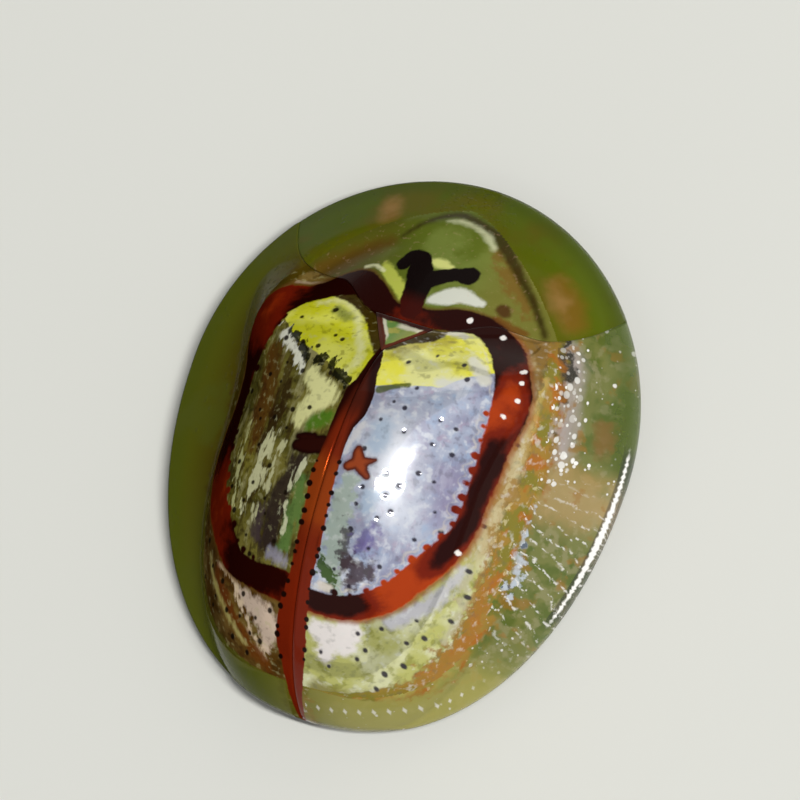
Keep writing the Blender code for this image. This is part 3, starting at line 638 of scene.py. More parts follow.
def wing_case(side_name, side, finishes):
    """One wing case: the domed disc in one piece with its clear brim."""
    along, across = shares(CASE_GRID, 0)
    inner_x = SUTURE_GAP / 2
    inner_front = (inner_x, SHIELD_APEX_Y + 0.5 * SEAM_GAP)
    notch = (SHIELD_HALF_WIDTH + SEAM_GAP, float(seam_y(np.array(SHIELD_HALF_WIDTH))) + SEAM_GAP)
    start = corner_angle(SEAM_GAP)
    corner = outline_point(np.array(start))
    end = math.acos((inner_x / (HALF_WIDTH - EDGE_ROUND)) ** (REAR_POWER / 2))
    apex = outline_point(np.array(end))
    beside = np.minimum(1.0, across / SHIELD_EDGE_SHARE)
    beyond = np.clip((across - SHIELD_EDGE_SHARE) / (1 - SHIELD_EDGE_SHARE), 0, 1)
    front_x = np.where(across < SHIELD_EDGE_SHARE, inner_front[0] + (notch[0] - inner_front[0]) * beside,
                       notch[0] + (corner[0] - notch[0]) * beyond)
    front_y = np.where(across < SHIELD_EDGE_SHARE, inner_front[1] + (notch[1] - inner_front[1]) * beside,
                       seam_y(front_x) + SEAM_GAP)
    front_y[0, -1] = corner[1]
    inner = between(inner_front, apex, along)
    outer = outline_point(start + (end - start) * along)
    flat = between(between(inner_front, corner, across), apex, along)
    x = between((front_x,), (apex[0],), along)[0] + between(inner, outer, across)[0] - flat[0]
    y = between((front_y,), (apex[1],), along)[0] + between(inner, outer, across)[1] - flat[1]
    x[-1], y[-1] = apex
    fields = marks_at(x, y, side, side_name)
    top = case_top(x, y) - PIT_DEPTH * (1 - smooth_step(*PIT_WALL, fields["pit"]))
    top -= SUTURE_ROLL * np.exp(-((x - inner_x) / SUTURE_ROLL_WIDTH) ** 2)
    round_edge = np.zeros_like(x)
    round_edge[:, -1] = EDGE_ROUND
    return plate("wing_case_" + side_name, side * x, y, top, case_under(x, y), fields, round_edge, finishes,
                 ("disc", CLEAR_FROM), slot="wing_case", stands_for=["elytron_" + side_name])


def neck_plate(finishes):
    """The pronotum: hood and brim."""
    along, across = shares(PRONOTUM_GRID)
    start = corner_angle(0.0)
    corner = outline_point(np.array(start))
    hind_x = across * corner[0]
    front = outline_point(-math.pi / 2 + np.abs(across) * (start + math.pi / 2))
    front_x = np.sign(across) * front[0]
    hind_y = seam_y(hind_x)
    hind_y[0, 0] = hind_y[0, -1] = corner[1]
    x = hind_x + (front_x - hind_x) * along
    y = hind_y + (front[1] - hind_y) * along
    fields = marks_at(x, y, 1, "neck")
    top = pronotum_top(x, y)
    round_edge = np.zeros_like(x)
    round_edge[-1, :] = EDGE_ROUND
    return plate("neck_plate", x, y, top, pronotum_under(x, y), fields, round_edge, finishes,
                 ("hood", HOOD_CLEAR_FROM), slot="pronotum", stands_for=["pronotum"])


def shield(finish):
    """The small three-cornered plate between the wing cases."""
    along, across = shares(SHIELD_GRID)
    base_y = SEAM_MIDDLE_Y + SEAM_GAP
    x = (SHIELD_HALF_WIDTH - SEAM_GAP) * (1 - along) * across
    y = base_y + (SHIELD_APEX_Y - base_y) * along + 0 * across
    slope = SHIELD_HALF_WIDTH / (SHIELD_APEX_Y - base_y)
    inward = ((SHIELD_APEX_Y - y) * slope - np.abs(x)) / math.hypot(1, slope)
    (rise, border), (dip, dip_end) = SHIELD_BORDER, SHIELD_DIP
    top = case_top(x, y) + rise * smooth_step(0.0, border, inward)
    top = top - dip * smooth_step(border, dip_end, inward)
    fields = {"edge": inward, "base": y - base_y}
    return plate("shield", x, y, top, top - SHIELD_THICKNESS, fields, np.zeros_like(x), [finish],
                 slot="scutellum", stands_for=["scutellum"])


# Spacings in the finishes, in mm, and depths of their bumps, in metres as the node reads them
PIT_SPACING = 0.06
FACET_SPACING = 0.02
RIB_SPACING = 0.1
DOT_SPACING = 0.07
# The white line and the row of dots on the brim, in mm from the rim
LINE_AT = 0.07
DOTS_AT = 0.12
BEAD_SPACING = 0.04
DENT_DEPTH = 1e-4
BUBBLE_DEPTH = 2e-5
GRAIN_DEPTH = 1e-5
FACET_DEPTH = 6e-6


def new_finish(name):
    """An empty finish, its node adder and what fills its shader."""
    made = bpy.data.materials.new(name)
    made.use_nodes = True
    tree = made.node_tree

    def fill(node, values):
        for key, value in values.items():
            if isinstance(value, str) and value[0] != "#":
                value = put("Attribute", out="Fac", attribute_name=value)
            if isinstance(value, bpy.types.NodeSocket):
                tree.links.new(value, node.inputs[key])
            else:
                node.inputs[key].default_value = colour(value) if isinstance(value, str) else value

    def put(kind, *values, out=0, **settings):
        """Add one shader node, set it, fill or join its inputs, and give one of its outputs.

        The kind may name an operation after a dot. The values are in the order of the node's inputs, or
        in one dict by name. Each is a number, an output, a colour code or the name of a laid-out distance.
        """
        kind, _, operation = kind.partition(".")
        if operation:
            settings["operation"] = operation
        added = tree.nodes.new("ShaderNode" + kind)
        for key, value in settings.items():
            setattr(added, key, value)
        named = values and isinstance(values[0], dict)
        fill(added, values[0] if named else dict(enumerate(values)))
        return added.outputs[out]

    def finish(values):
        fill(tree.nodes["Principled BSDF"], values)
        return made

    return put, finish


def place_mm(put):
    """Where a point is, in millimetres, and its x and y."""
    place = put("VectorMath.SCALE", {0: put("TexCoord", out="Object"), "Scale": 1 / MM})
    return place, put("SeparateXYZ", place), put("SeparateXYZ", place, out="Y")


def blotches(put, place, size, shift=0.0, stretch=(1.0, 1.0, 1.0), detail=3.0):
    """Cloudy values about 0.5, in blotches of a real size in mm. A shift gives others of the same size."""
    scale = tuple(s / size for s in stretch)
    at = put("VectorMath.MULTIPLY_ADD", place, scale, (shift, shift, shift))
    return put("TexNoise", {"Vector": at, "Scale": 1.0, "Detail": detail})


def tint(put, under, over, value, low, high, cover=1.0):
    """Lay one colour over another where a value passes from low to high."""
    share = put("MapRange", value, low, high, 0, cover, **SMOOTH)
    return put("Mix", {0: share, 6: under, 7: over}, out=2, data_type="RGBA")


def edge(put, name, rag, amount):
    """One of the laid-out distances in mm, made ragged by some amount."""
    rough = put("Math.MULTIPLY_ADD", rag, amount, -amount / 2)
    return put("Math.ADD", name, rough)


def lay_sheen_and_patches(put, under, sheen, rag):
    """Lay on, patch by patch, painted reflections and highlights and patches of the shell's own colour."""
    for k, (code, raggedness, softness, cover, _) in enumerate(SHEEN_AND_PATCHES[sheen]):
        under = tint(put, under, code, edge(put, f"sheen_{k}", rag, raggedness), softness, -softness, cover)
    return under


def distance_from(put, value, middle):
    """How far a value is from a middle one."""
    return put("Math.ABSOLUTE", put("Math.SUBTRACT", value, middle))


def lay(put, base, coats):
    """Lay one coat after another over a base: colour, value, where it starts, where it is full, and cover."""
    for coat in coats:
        base = tint(put, base, *coat)
    return base


def amber_foot(put, place, x, y):
    """Where the metal ends: tan, olive and orange with pale flecks of painted glint on the right, which faces
    the lamp, and a darker olive brown on the left as painted shade.
    """
    amber = lay(put, "#80762c", (
        ("#9c7a34", blotches(put, place, 0.3, 25.0), 0.42, 0.54),
        ("#a86422", blotches(put, place, 0.26, 31.0), 0.52, 0.64, 0.85),
        ("#d8cca0", blotches(put, place, 0.12, 37.0), 0.62, 0.7, 0.5),
    ))
    dark = tint(put, "#4f400c", "#5e5c1c", y, 1.0, 2.2)
    return tint(put, amber, dark, x, -0.4, 0.2)


def ring_colours(put, place):
    """Black where the ring is cold, maroon and orange where more light comes through."""
    noise = put("Math.MULTIPLY_ADD", blotches(put, place, 0.28, 2.0), 0.8, -0.4)
    heat = put("Math.ADD", "red", noise)
    band = tint(put, "#240603", "#6e1c08", heat, 0.12, 0.5)
    return tint(put, band, "#a2380e", heat, 0.55, 0.95)


def stripe_colours(put, place, y):
    """Red brown, nearly black at the front and orange in the middle, in streaks along the suture."""
    cloud = blotches(put, place, 0.6, 3.0)
    middle = tint(put, "#6e220c", "#571806", blotches(put, place, 0.4, 0.0, (3.0, 0.5, 1.0)), 0.5, 0.64)
    middle = lay(put, middle, (
        ("#8a3a10", put("Math.ADD", distance_from(put, y, 0.9), cloud), 1.1, 0.7, 0.8),
        ("#701e08", y, 1.5, 2.1, 0.9),
        ("#42160b", y, 0.1, -0.35),
    ))
    inside = put("Math.ADD", "stripe", put("Math.MULTIPLY", y, -0.1))
    return tint(put, middle, "#220805", inside, -0.1, 0.0)


def disc_finish(side_name):
    """Polished cuticle over thin reflecting layers: bright as metal, with a partly painted soft glow round a
    hard glint.
    """
    put, finish = new_finish("metal_bright_cuticle_" + side_name)
    place, x, y = place_mm(put)
    right = side_name == "right"
    rag = blotches(put, place, 0.11, stretch=(1.0, 1.0, 1.0) if right else (1.5, 0.5, 1.0))
    cloud = blotches(put, place, 0.6, 3.0)
    grain = blotches(put, place, 0.12 if right else 0.09, 5.0, detail=2.0)
    hue = blotches(put, place, 0.14, 9.0)
    streaks = blotches(put, place, 0.3, 7.0, (2.2, 0.5, 1.0), 4.0)

    # Silver with lilac, blue and pale streaks on the right, partly painted reflection of bright surroundings;
    # on the left painted reflection of dark surroundings in long bands
    if right:
        shell = lay(put, "#9fa1b8", (
            ("#b9c0d2", cloud, 0.38, 0.6),
            ("#9a90ae", blotches(put, place, 0.4, 13.0), 0.56, 0.7, 0.7),
            ("#a9c0dc", hue, 0.5, 0.7, 0.6),
            ("#b79fb4", hue, 0.46, 0.28, 0.6),
            ("#eef1f7", streaks, 0.58, 0.7, 0.45),
            ("#e6eaf2", grain, 0.5, 0.72, 0.6),
            ("#8683a0", grain, 0.48, 0.28, 0.45),
        ))
    else:
        shell = lay(put, "#5a5420", (
            ("#7c7434", cloud, 0.4, 0.6),
            ("#3d2c16", streaks, 0.52, 0.62, 0.7),
            ("#b0aa78", streaks, 0.44, 0.34, 0.45),
            ("#2c2010", grain, 0.5, 0.3, 0.4),
        ))
    # Gold shoulders, partly painted reflection of yellow-green surroundings; outside the ring yellow green on
    # the right and brown on the left, painted reflection; and the foot where the metal ends
    gold = lay(put, "#f8f250" if right else "#cccc28", (
        ("#f6f4a0" if right else "#dcdc60", cloud, 0.42, 0.6),
        ("#8c8430" if right else "#84841c", grain, 0.46, 0.3, 0.25),
    ))
    rear = lay(put, "#c0c070" if right else "#553a15", (
        ("#dcdcae" if right else "#7a6434", cloud, 0.42, 0.6),
        ("#87872e" if right else "#3f2a0e", blotches(put, place, 0.16, 21.0), 0.52, 0.66, 0.6),
    ))
    if right:
        tan = tint(put, "#a8854a", "#c4b184", blotches(put, place, 0.26, 23.0), 0.46, 0.58)
        rear = tint(put, rear, tan, y, 1.3, 0.6)
    foot = edge(put, "disc", rag, 0.2)
    shell = lay(put, shell, (
        (gold, edge(put, "gold", rag, 0.06), 0.012, -0.012),
        (rear, "behind", -0.02, 0.03),
        (amber_foot(put, place, x, y), foot, 0.06, -0.01),
    ))
    shell = lay_sheen_and_patches(put, shell, side_name, rag)

    # Grain, brown pits, a warm halo outside the ring, and on the right a broken pale line inside it
    pit = edge(put, "pit", rag, 0.02)
    on_ring = edge(put, "ring", rag, 0.05)
    halo = put("Math.MAXIMUM", on_ring, put("Math.MULTIPLY", "behind", -1.0))
    shell = lay(put, shell, (
        ("#f0f2ee" if right else "#b8b482", grain, 0.56, 0.74, 0.35),
        ("#5a6058" if right else "#1c140a", grain, 0.44, 0.28, 0.25),
        ("#2c2634" if right else "#1c140c", pit, 0.01, -0.014, 0.95),
        ("#9a5828" if right else "#6a4a1c", halo, 0.06, 0.0, 0.8),
    ))
    if right:
        line = put("Math.MAXIMUM", distance_from(put, on_ring, 0.035), "behind")
        line = put("Math.MULTIPLY_ADD", hue, 0.08, line)
        shell = tint(put, shell, "#e0d8c8", line, 0.06, 0.03, 0.6)
    # The ring, the cross mark, the stripe and the row of pits beside it, and painted glints on the right
    on_cross = edge(put, "cross", rag, 0.05)
    on_stripe = edge(put, "stripe", rag, 0.045)
    beside = put("Math.MAXIMUM", pit, put("Math.SUBTRACT", "stripe", 0.07))
    shell = lay(put, shell, (
        (ring_colours(put, place), on_ring, 0.01, -0.02),
        ("#4a1a10" if right else "#1d0806", on_cross, 0.025, -0.02),
        ("#8a3c1c" if right else "#2a0d08", on_cross, -0.01, -0.07),
        (stripe_colours(put, place, y), on_stripe, 0.008, -0.015),
        ("#1a0a06", beside, 0.006, -0.01),
    ))
    if right:
        shell = tint(put, shell, "#f4eee6", edge(put, "glint", rag, 0.06), 0.01, -0.01, 0.9)

    pigment = on_ring
    for more in (foot, on_stripe, on_cross):
        pigment = put("Math.MINIMUM", pigment, more)
    dents = put("Bump", {"Height": cloud, "Strength": 0.01, "Distance": DENT_DEPTH})
    fine = put("Bump", {"Height": grain, "Strength": 0.04, "Distance": GRAIN_DEPTH, "Normal": dents})
    return finish({
        "Base Color": shell,
        "Metallic": put("MapRange", pigment, -0.01, 0.01, *((0.0, 0.45) if right else (0.2, 0.3))),
        "Roughness": put("MapRange", streaks, 0.3, 0.7, *((0.03, 0.055) if right else (0.08, 0.16))),
        "Specular IOR Level": 0.08 if right else 0.0,
        "Specular Tint": "#ffffff" if right else "#3a3a3a",
        "Coat Weight": put("MapRange", pigment, -0.01, 0.01, 0.12, 0.35) if right else 0.0,
        "Coat Roughness": 0.28,
        "Normal": fine,
    })


def lit_brim_colours(put, place, x, y, noises, crowd):
    """Olive on the left; on the right, which faces the lamp, tan, lilac and leaf green painted where light
    comes through.
    """
    rag, cloud, blotch, spots = noises
    hind = put("Mix", {0: put("MapRange", y, 0.8, 2.2), 6: "#52450a", 7: "#60621c"}, out=2, data_type="RGBA")
    olive = lay(put, "#565908", (
        ("#505706", "rim", 0.35, 0.1),
        (hind, "disc", -0.75, -0.2, 0.8),
        ("#545a18", cloud, 0.52, 0.66, 0.6),
    ))
    from_waist = put("Math.ABSOLUTE", put("Math.ADD", y, 0.1))
    deep = put("Math.ADD", put("MapRange", y, -0.6, 0.2, 0, 0.6), cloud)
    crackle = edge(put, "crackle", rag, 0.5)
    glint_breaks = put("Math.ADD", crackle, put("MapRange", spots, 0.5, 0.6, 0.3, 0.0))
    gaps = put("Math.SUBTRACT", spots, put("MapRange", y, -1.0, -1.6, 0, 0.3))
    pale = lay(put, "#5c6a2c", (
        ("#767a40", blotch, 0.4, 0.56),
        ("#8f8c60", spots, 0.5, 0.64, 0.8),
        ("#b0a49c", put("Math.ADD", crowd, cloud), 0.8, 1.3),
        ("#ac9058", put("Math.ADD", from_waist, blotch), 1.1, 0.6, 0.8),
        ("#9a6e28", blotches(put, place, 0.25, 16.0), 0.56, 0.66, 0.65),
        ("#a8a052", put("Math.ADD", y, cloud), 2.2, 3.2, 0.85),
        ("#4d5e18", put("Math.ADD", "rim", deep), 1.0, 0.6, 0.9),
        ("#80602c", edge(put, "brown", rag, 0.2), 0.06, -0.08, 0.8),
        # A painted bluish white glint line, broken by dark blue
        ("#c9d2de", crackle, 0.04, -0.02, 0.85),
        ("#3b4a5c", glint_breaks, 0.04, -0.02, 0.85),
        ("#1c1d12", put("Math.SUBTRACT", crowd, gaps), 0.35, 0.5, 0.9),
    ))
    # Painted light: the right, which faces the lamp, takes the paler colours and the left stays olive
    base = tint(put, olive, pale, x, 0.5, -0.9)
    cover = put("MapRange", blotch, 0.36, 0.5)
    return tint(put, base, amber_foot(put, place, x, y), edge(put, "disc", rag, 0.3), -0.26, -0.14, cover)


def front_brim_colours(put, x, rag, cloud):
    """Olive with two amber spots, round the hood."""
    amber = tint(put, "#7e5a1c", "#9a7440", cloud, 0.42, 0.62)
    return lay(put, "#4c5a05", (
        ("#55620c", x, 0.6, -1.6),
        ("#565208", cloud, 0.45, 0.62, 0.8),
        ("#625a10", put("Math.ADD", "hood", cloud), 0.0, 0.4, 0.4),
        ("#435008", "rim", 0.25, 0.05, 0.7),
        (amber, edge(put, "amber", rag, 0.1), 0.12, -0.1, 0.8),
    ))


def ribs_at(put, place, y, wavy):
    """Beaded ribs that run from the foot to the rim."""
    cover = put("MapRange", distance_from(put, y, 0.9), 1.4, 0.6, 0, 0.7)
    ribs = put("MapRange", put("Math.PINGPONG", wavy, RIB_SPACING), 0.032, 0.004, 0, cover, **SMOOTH)
    beads = put("MapRange", blotches(put, place, 0.06, 41.0), 0.44, 0.6, **SMOOTH)
    return put("Math.MULTIPLY", ribs, beads)


def bubbles_at(put, place, crowd):
    """Round bubbles of two sizes, close together by the foot in front, each with a painted glint more or less
    bright.
    """
    close = put("Math.MULTIPLY", crowd, 0.5)
    dots = []
    for spacing, most in ((0.13, 0.46), (0.09, 0.36)):
        cell = put("TexVoronoi", {"Vector": place, "Scale": 1 / spacing})
        chance = put("SeparateColor", cell.node.outputs["Color"])
        patchy = put("Math.ADD", blotches(put, place, 0.3, 47.0 + spacing * 100), close)
        size = put("MapRange", patchy, 0.42, 0.72, -0.1, put("MapRange", chance, 0, 1, most * 0.5, most))
        light = put("MapRange", chance.node.outputs["Green"], 0, 1, 0.35)
        inside = put("Math.SUBTRACT", cell, size)
        dots.append(put("MapRange", inside, 0.06, -0.08, 0, light, **SMOOTH))
    return put("Math.MAXIMUM", *dots)


def brim_finish(name, clear_and_lit_on_right, shine, coat):
    """Clear, unpigmented cuticle: olive seen aslant; where light comes through, painted paler colours and
    painted glints on its ribs and bubbles.
    """
    put, finish = new_finish(name)
    place, x, y = place_mm(put)
    rag = blotches(put, place, 0.11)
    cloud = blotches(put, place, 0.7, 2.0, detail=4.0)
    blotch = blotches(put, place, 0.3, 4.0)
    spots = blotches(put, place, 0.16, 8.0)
    near_foot = put("MapRange", "disc", -0.6, -0.1)
    crowd = put("Math.MULTIPLY", put("MapRange", y, 0.1, -0.5), near_foot)
    if clear_and_lit_on_right:
        base = lit_brim_colours(put, place, x, y, (rag, cloud, blotch, spots), crowd)
    else:
        base = front_brim_colours(put, x, rag, cloud)
    # Painted glints go only on the right, which faces the lamp
    lit = put("MapRange", x, 0.0, -1.2, 0, 1.0 if clear_and_lit_on_right else 0.0, **SMOOTH)
    wavy = put("Math.MULTIPLY_ADD", blotch, 0.3, "around")
    ribs = ribs_at(put, place, y, wavy)
    bubbles = bubbles_at(put, place, crowd)

    # A painted highlight: one beaded white line where the curled rim catches the lamp, with painted shade on
    # both sides
    across_rim = distance_from(put, "rim", LINE_AT)
    from_lamp = distance_from(put, y, 0.3)
    lamp_side = put("Math.MULTIPLY", put("MapRange", from_lamp, 1.25, 1.05), lit)
    base = tint(put, base, "#23262c", across_rim, 0.065, 0.045, put("Math.MULTIPLY", lamp_side, 0.6))
    bead = put("Math.MULTIPLY_ADD", spots, 0.15, wavy)
    bead = put("Math.PINGPONG", bead, BEAD_SPACING)
    bead = put("Math.MULTIPLY_ADD", bead, 0.4, put("Math.MULTIPLY", from_lamp, 0.02))
    rim_glint = put("Math.ADD", across_rim, bead)
    rim_glint = put("MapRange", rim_glint, 0.054, 0.03, 0, lamp_side, **SMOOTH)

    # A row of pale dots beside the hind rim
    dots = put("Math.PINGPONG", "around", DOT_SPACING)
    dots = put("Math.ADD", distance_from(put, "rim", DOTS_AT), dots)
    dots = put("MapRange", dots, 0.035, 0.01, 0, put("MapRange", y, 2.2, 2.6, 0, 0.6), **SMOOTH)
    dots = put("Math.MULTIPLY", dots, put("MapRange", x, 0.0, -0.1))
    # Painted glints on the ribs and bubbles of the side that faces the lamp, joined with the dots and the
    # rim's painted highlight
    lines = put("Math.MULTIPLY", put("Math.MAXIMUM", ribs, bubbles), lit)
    for more in (dots, rim_glint):
        lines = put("Math.MAXIMUM", lines, more)
    base = tint(put, base, "#f1eee6", lines, 0.0, 1.0)

    # The suture's stripe goes on over the hind brim
    on_stripe = edge(put, "stripe", rag, 0.045)
    behind_disc = put("Math.MAXIMUM", on_stripe, put("Math.SUBTRACT", 2.0, y))
    base = tint(put, base, stripe_colours(put, place, y), behind_disc, 0.008, -0.015)
    cover = put("MapRange", x, 0.5, -0.9, 0.95, 0.82 if clear_and_lit_on_right else 0.92)
    for more in (lines, put("MapRange", "disc", -0.5, -0.13)):
        cover = put("Math.MAXIMUM", cover, more)
    layer = put("MapRange", "layer", 0, 1, 1.0, 0.3)
    return finish({
        "Base Color": base,
        "Roughness": 0.18,
        "Specular IOR Level": shine,
        "Alpha": put("Math.MULTIPLY", cover, layer),
        "Coat Weight": coat,
        "Coat Roughness": 0.05,
        "Normal": put("Bump", {"Height": bubbles, "Strength": 0.4, "Distance": BUBBLE_DEPTH}),
    })


def hood_finish():
    """Sage green cuticle with a soft gloss, the pronotum's black mark and the front of the ring."""
    put, finish = new_finish("sage_cuticle_with_black_mark")
    place, x, y = place_mm(put)
    rag = blotches(put, place, 0.11)
    cloud = blotches(put, place, 0.55, 2.0, detail=4.0)
    grain = blotches(put, place, 0.07, 5.0, detail=2.0)
    # Painted light and shade: lighter on the right, which faces the lamp, and darker on the left
    base = lay(put, "#5a661c", (
        ("#6e7a34", cloud, 0.4, 0.62),
        ("#747030", x, -0.3, -0.9, 0.8),
        ("#504e12", x, 0.3, 1.0, 0.9),
    ))
    base = lay_sheen_and_patches(put, base, "neck", rag)
    base = tint(put, base, "#c9a07e", grain, 0.6, 0.74, 0.15)
    near = edge(put, "ring", rag, 0.05)
    base = lay(put, base, (
        ("#5a2c10", near, 0.05, 0.0, 0.6),
        (ring_colours(put, place), near, 0.01, -0.02),
    ))
    # The black mark, then painted white glints on the right
    black = tint(put, "#0e0504", "#3a0c06", y, -1.95, -1.7)
    base = lay(put, base, (
        (black, edge(put, "mark", rag, 0.05), 0.01, -0.02),
        ("#f4eee6", edge(put, "glint", rag, 0.06), 0.01, -0.01, 0.9),
    ))
    fine = put("Bump", {"Height": grain, "Strength": 0.15, "Distance": GRAIN_DEPTH})
    return finish({
        "Base Color": base,
        "Roughness": 0.26,
        "Specular IOR Level": 0.07,
        "Coat Weight": 0.05,
        "Coat Roughness": 0.04,
        "Normal": fine,
    })


def shield_finish():
    """Green-gold plate with pale edges painted as highlights and a dark red border, bright as metal in its
    middle.
    """
    put, finish = new_finish("green_gold_cuticle")
    place, x = place_mm(put)[:2]
    rag = blotches(put, place, 0.11)
    border = put("MapRange", x, -0.02, 0.02, 0.04, 0.08)
    side_edge = put("Math.SUBTRACT", edge(put, "edge", rag, 0.03), border)
    base_edge = edge(put, "base", rag, 0.05)
    base = lay(put, "#688e42", (
        ("#8f9a4e", x, 0.05, -0.15),
        ("#a9a64e", blotches(put, place, 0.2, 4.0), 0.5, 0.62),
    ))
    # Painted highlights where the raised border catches the light: pale along the base on the right and along
    # the sides on the left
    pale = tint(put, base, "#e2dcc6", base_edge, 0.13, 0.09, 0.85)
    base = tint(put, base, pale, x, 0.06, -0.04)
    pale = tint(put, base, "#e2dcc6", side_edge, 0.045, 0.02, 0.85)
    base = lay(put, base, (
        (pale, x, 0.0, 0.06),
        ("#5a2410", side_edge, 0.01, -0.01),
        ("#34100a", base_edge, 0.07, 0.04),
    ))
    return finish({
        "Base Color": base,
        "Metallic": 0.3,
        "Roughness": 0.3,
        "Specular IOR Level": 0.2,
        "Coat Weight": 0.2,
    })


def plain_finish(name, light, dark, size, roughness, bump):
    """Cuticle mottled in two browns, with close pits that dull its shine a little."""
    put, finish = new_finish(name)
    place = place_mm(put)[0]
    base = tint(put, dark, light, blotches(put, place, size, detail=4.0), 0.36, 0.64)
    pits = put("TexVoronoi", {"Vector": place, "Scale": 1 / PIT_SPACING})
    base = tint(put, base, dark, pits, 0.25, 0.1, 0.5)
    pits = put("MapRange", pits, 0.05, 0.35)
    height = put("Bump", {"Height": pits, "Strength": bump, "Distance": GRAIN_DEPTH})
    return finish({"Base Color": base, "Roughness": roughness, "Coat Weight": 0.2, "Normal": height})


def eye_finish():
    """Black eye whose facets break its glint into dots."""
    put, finish = new_finish("faceted_black_eye")
    place = place_mm(put)[0]
    values = {"Vector": place, "Scale": 1 / FACET_SPACING, "Randomness": 0.2}
    facets = put("TexVoronoi", values, feature="DISTANCE_TO_EDGE")
    bulge = put("MapRange", facets, 0.0, 0.3)
    height = put("Bump", {"Height": bulge, "Strength": 0.8, "Distance": FACET_DEPTH})
    base = tint(put, "#120b08", "#2c1d14", facets, 0.12, 0.02)
    return finish({"Base Color": base, "Roughness": 0.16, "Coat Weight": 0.6, "Normal": height})


def skin(count, sides):
    """Faces of a closed shape made of rings of points."""
    rings = np.arange(count * sides).reshape(count, sides)
    after = np.roll(rings, -1, 1)
    faces = np.stack([rings[:-1], after[:-1], after[1:], rings[1:]], -1).reshape(-1, 4).tolist()
    return faces + [rings[0][::-1].tolist(), rings[-1].tolist()]


def tube(route, widths, heights, sides=16, floor=None):
    """Points and faces of a closed tube of oval rings along a route."""
    route = np.asarray(route, float)
    ahead = np.gradient(route, axis=0)
    ahead /= np.linalg.norm(ahead, axis=1)[:, None]
    across = np.cross((0.0, 0.0, 1.0), ahead)
    size = np.linalg.norm(across, axis=1)[:, None]
    across = np.where(size > 0.1, across / np.maximum(size, 1e-9), (1.0, 0.0, 0.0))
    up = np.cross(ahead, across)
    angle = 2 * math.pi * (np.arange(sides) + 0.5) / sides
    widths, heights = np.asarray(widths)[:, None, None], np.asarray(heights)[:, None, None]
    points = route[:, None] + across[:, None] * widths * np.cos(angle)[None, :, None]
    points = points + up[:, None] * heights * np.sin(angle)[None, :, None]
    if floor is not None:
        points[..., 2] = np.maximum(points[..., 2], floor)
    return points.reshape(-1, 3), skin(len(route), sides)


def bulb(start, end, shape, width, height=1.0, rings=14, sides=16, floor=None):
    """A rounded joint from start to end, its radius read from a table of (share, size)."""
    start, end = np.asarray(start, float), np.asarray(end, float)
    share = 0.5 - 0.5 * np.cos(np.linspace(0, math.pi, rings))
    radius = np.interp(share, *zip(*shape)) * width
    ends = np.sqrt(np.clip(1 - (2 * np.abs(share - 0.5)) ** 8, 0.0, 1.0)) * 0.98 + 0.02
    route = start + (end - start) * share[:, None]
    return tube(route, radius * ends, radius * ends * height, sides, floor)


def hair(root, tip, radii):
    """A fine hair, thinner towards its tip."""
    return tube([root, (root + tip) / 2, np.maximum(tip, (-9, -9, HAIR_LOWEST))], radii, radii, 4)


def together(parts):
    """Several closed shapes as one list of points and faces."""
    points, faces, count = [], [], 0
    for part_points, part_faces in parts:
        points.append(part_points)
        faces += [[i + count for i in face] for face in part_faces]
        count += len(part_points)
    return np.concatenate(points), faces


# Each leg from above, on the left side: hip, knee, ankle and toe
LEG_ROUTES = {
    "front": ((0.38, -1.82), (1.16, -1.84), (1.6, -1.5), (1.93, -1.12)),
    "middle": ((0.52, -0.78), (1.35, -0.62), (1.95, -0.5), (2.52, -0.42)),
    "hind": ((0.5, -0.2), (1.3, 0.62), (1.82, 1.22), (2.1, 1.74)),
}
THIGH_Z = 0.27
ANKLE_Z = 0.17
# Heights of the hip from its top down, then radii, and how flat thigh and shin are
HIP_Z = (0.62, 0.14)
HIP_RADIUS = 0.24
HIP_RING_RADIUS = 0.17
THIGH_RADIUS = 0.19
THIGH_FLATNESS = 0.9
SHIN_RADIUS = 0.145
SHIN_FLATNESS = 0.85
LAST_JOINT_RADIUS = 0.065
HAIR_LOWEST = 0.004
BRISTLE_RADII = (0.006, 0.004, 0.001)
DOWN_RADII = (0.005, 0.003, 0.001)
# How thick each joint is along its length, as shares
HIP = ((0, 0.8), (0.5, 1.0), (1, 0.6))
HIP_RING = ((0, 0.7), (0.5, 1.0), (1, 0.7))
THIGH = ((0.0, 0.6), (0.15, 0.85), (0.45, 1.0), (0.75, 0.9), (1.0, 0.6))
SHIN = ((0.0, 0.55), (0.1, 0.75), (0.5, 0.8), (0.85, 1.1), (1.0, 0.95))
FOOT_JOINT = ((0, 0.5), (0.3, 0.85), (0.75, 1.0), (1, 0.8))
LAST_JOINT = ((0, 0.6), (0.6, 0.8), (1, 1.0))
# The first three foot joints: start and end as shares of the foot, width, height above the floor, flatness
FOOT_JOINTS = ((0.02, 0.28, 0.13, 0.17, 0.8), (0.22, 0.5, 0.155, 0.16, 0.7), (0.42, 0.84, 0.18, 0.15, 0.55))
# A claw's route from the toe: ahead, aside and up
CLAW = ((-0.05, 0.0, 0.09), (0.06, 0.05, 0.1), (0.13, 0.07, 0.07), (0.155, 0.062, 0.03))
CLAW_RINGS = 14
CLAW_RADII = (0.036, 0.004)
BRISTLES = 70


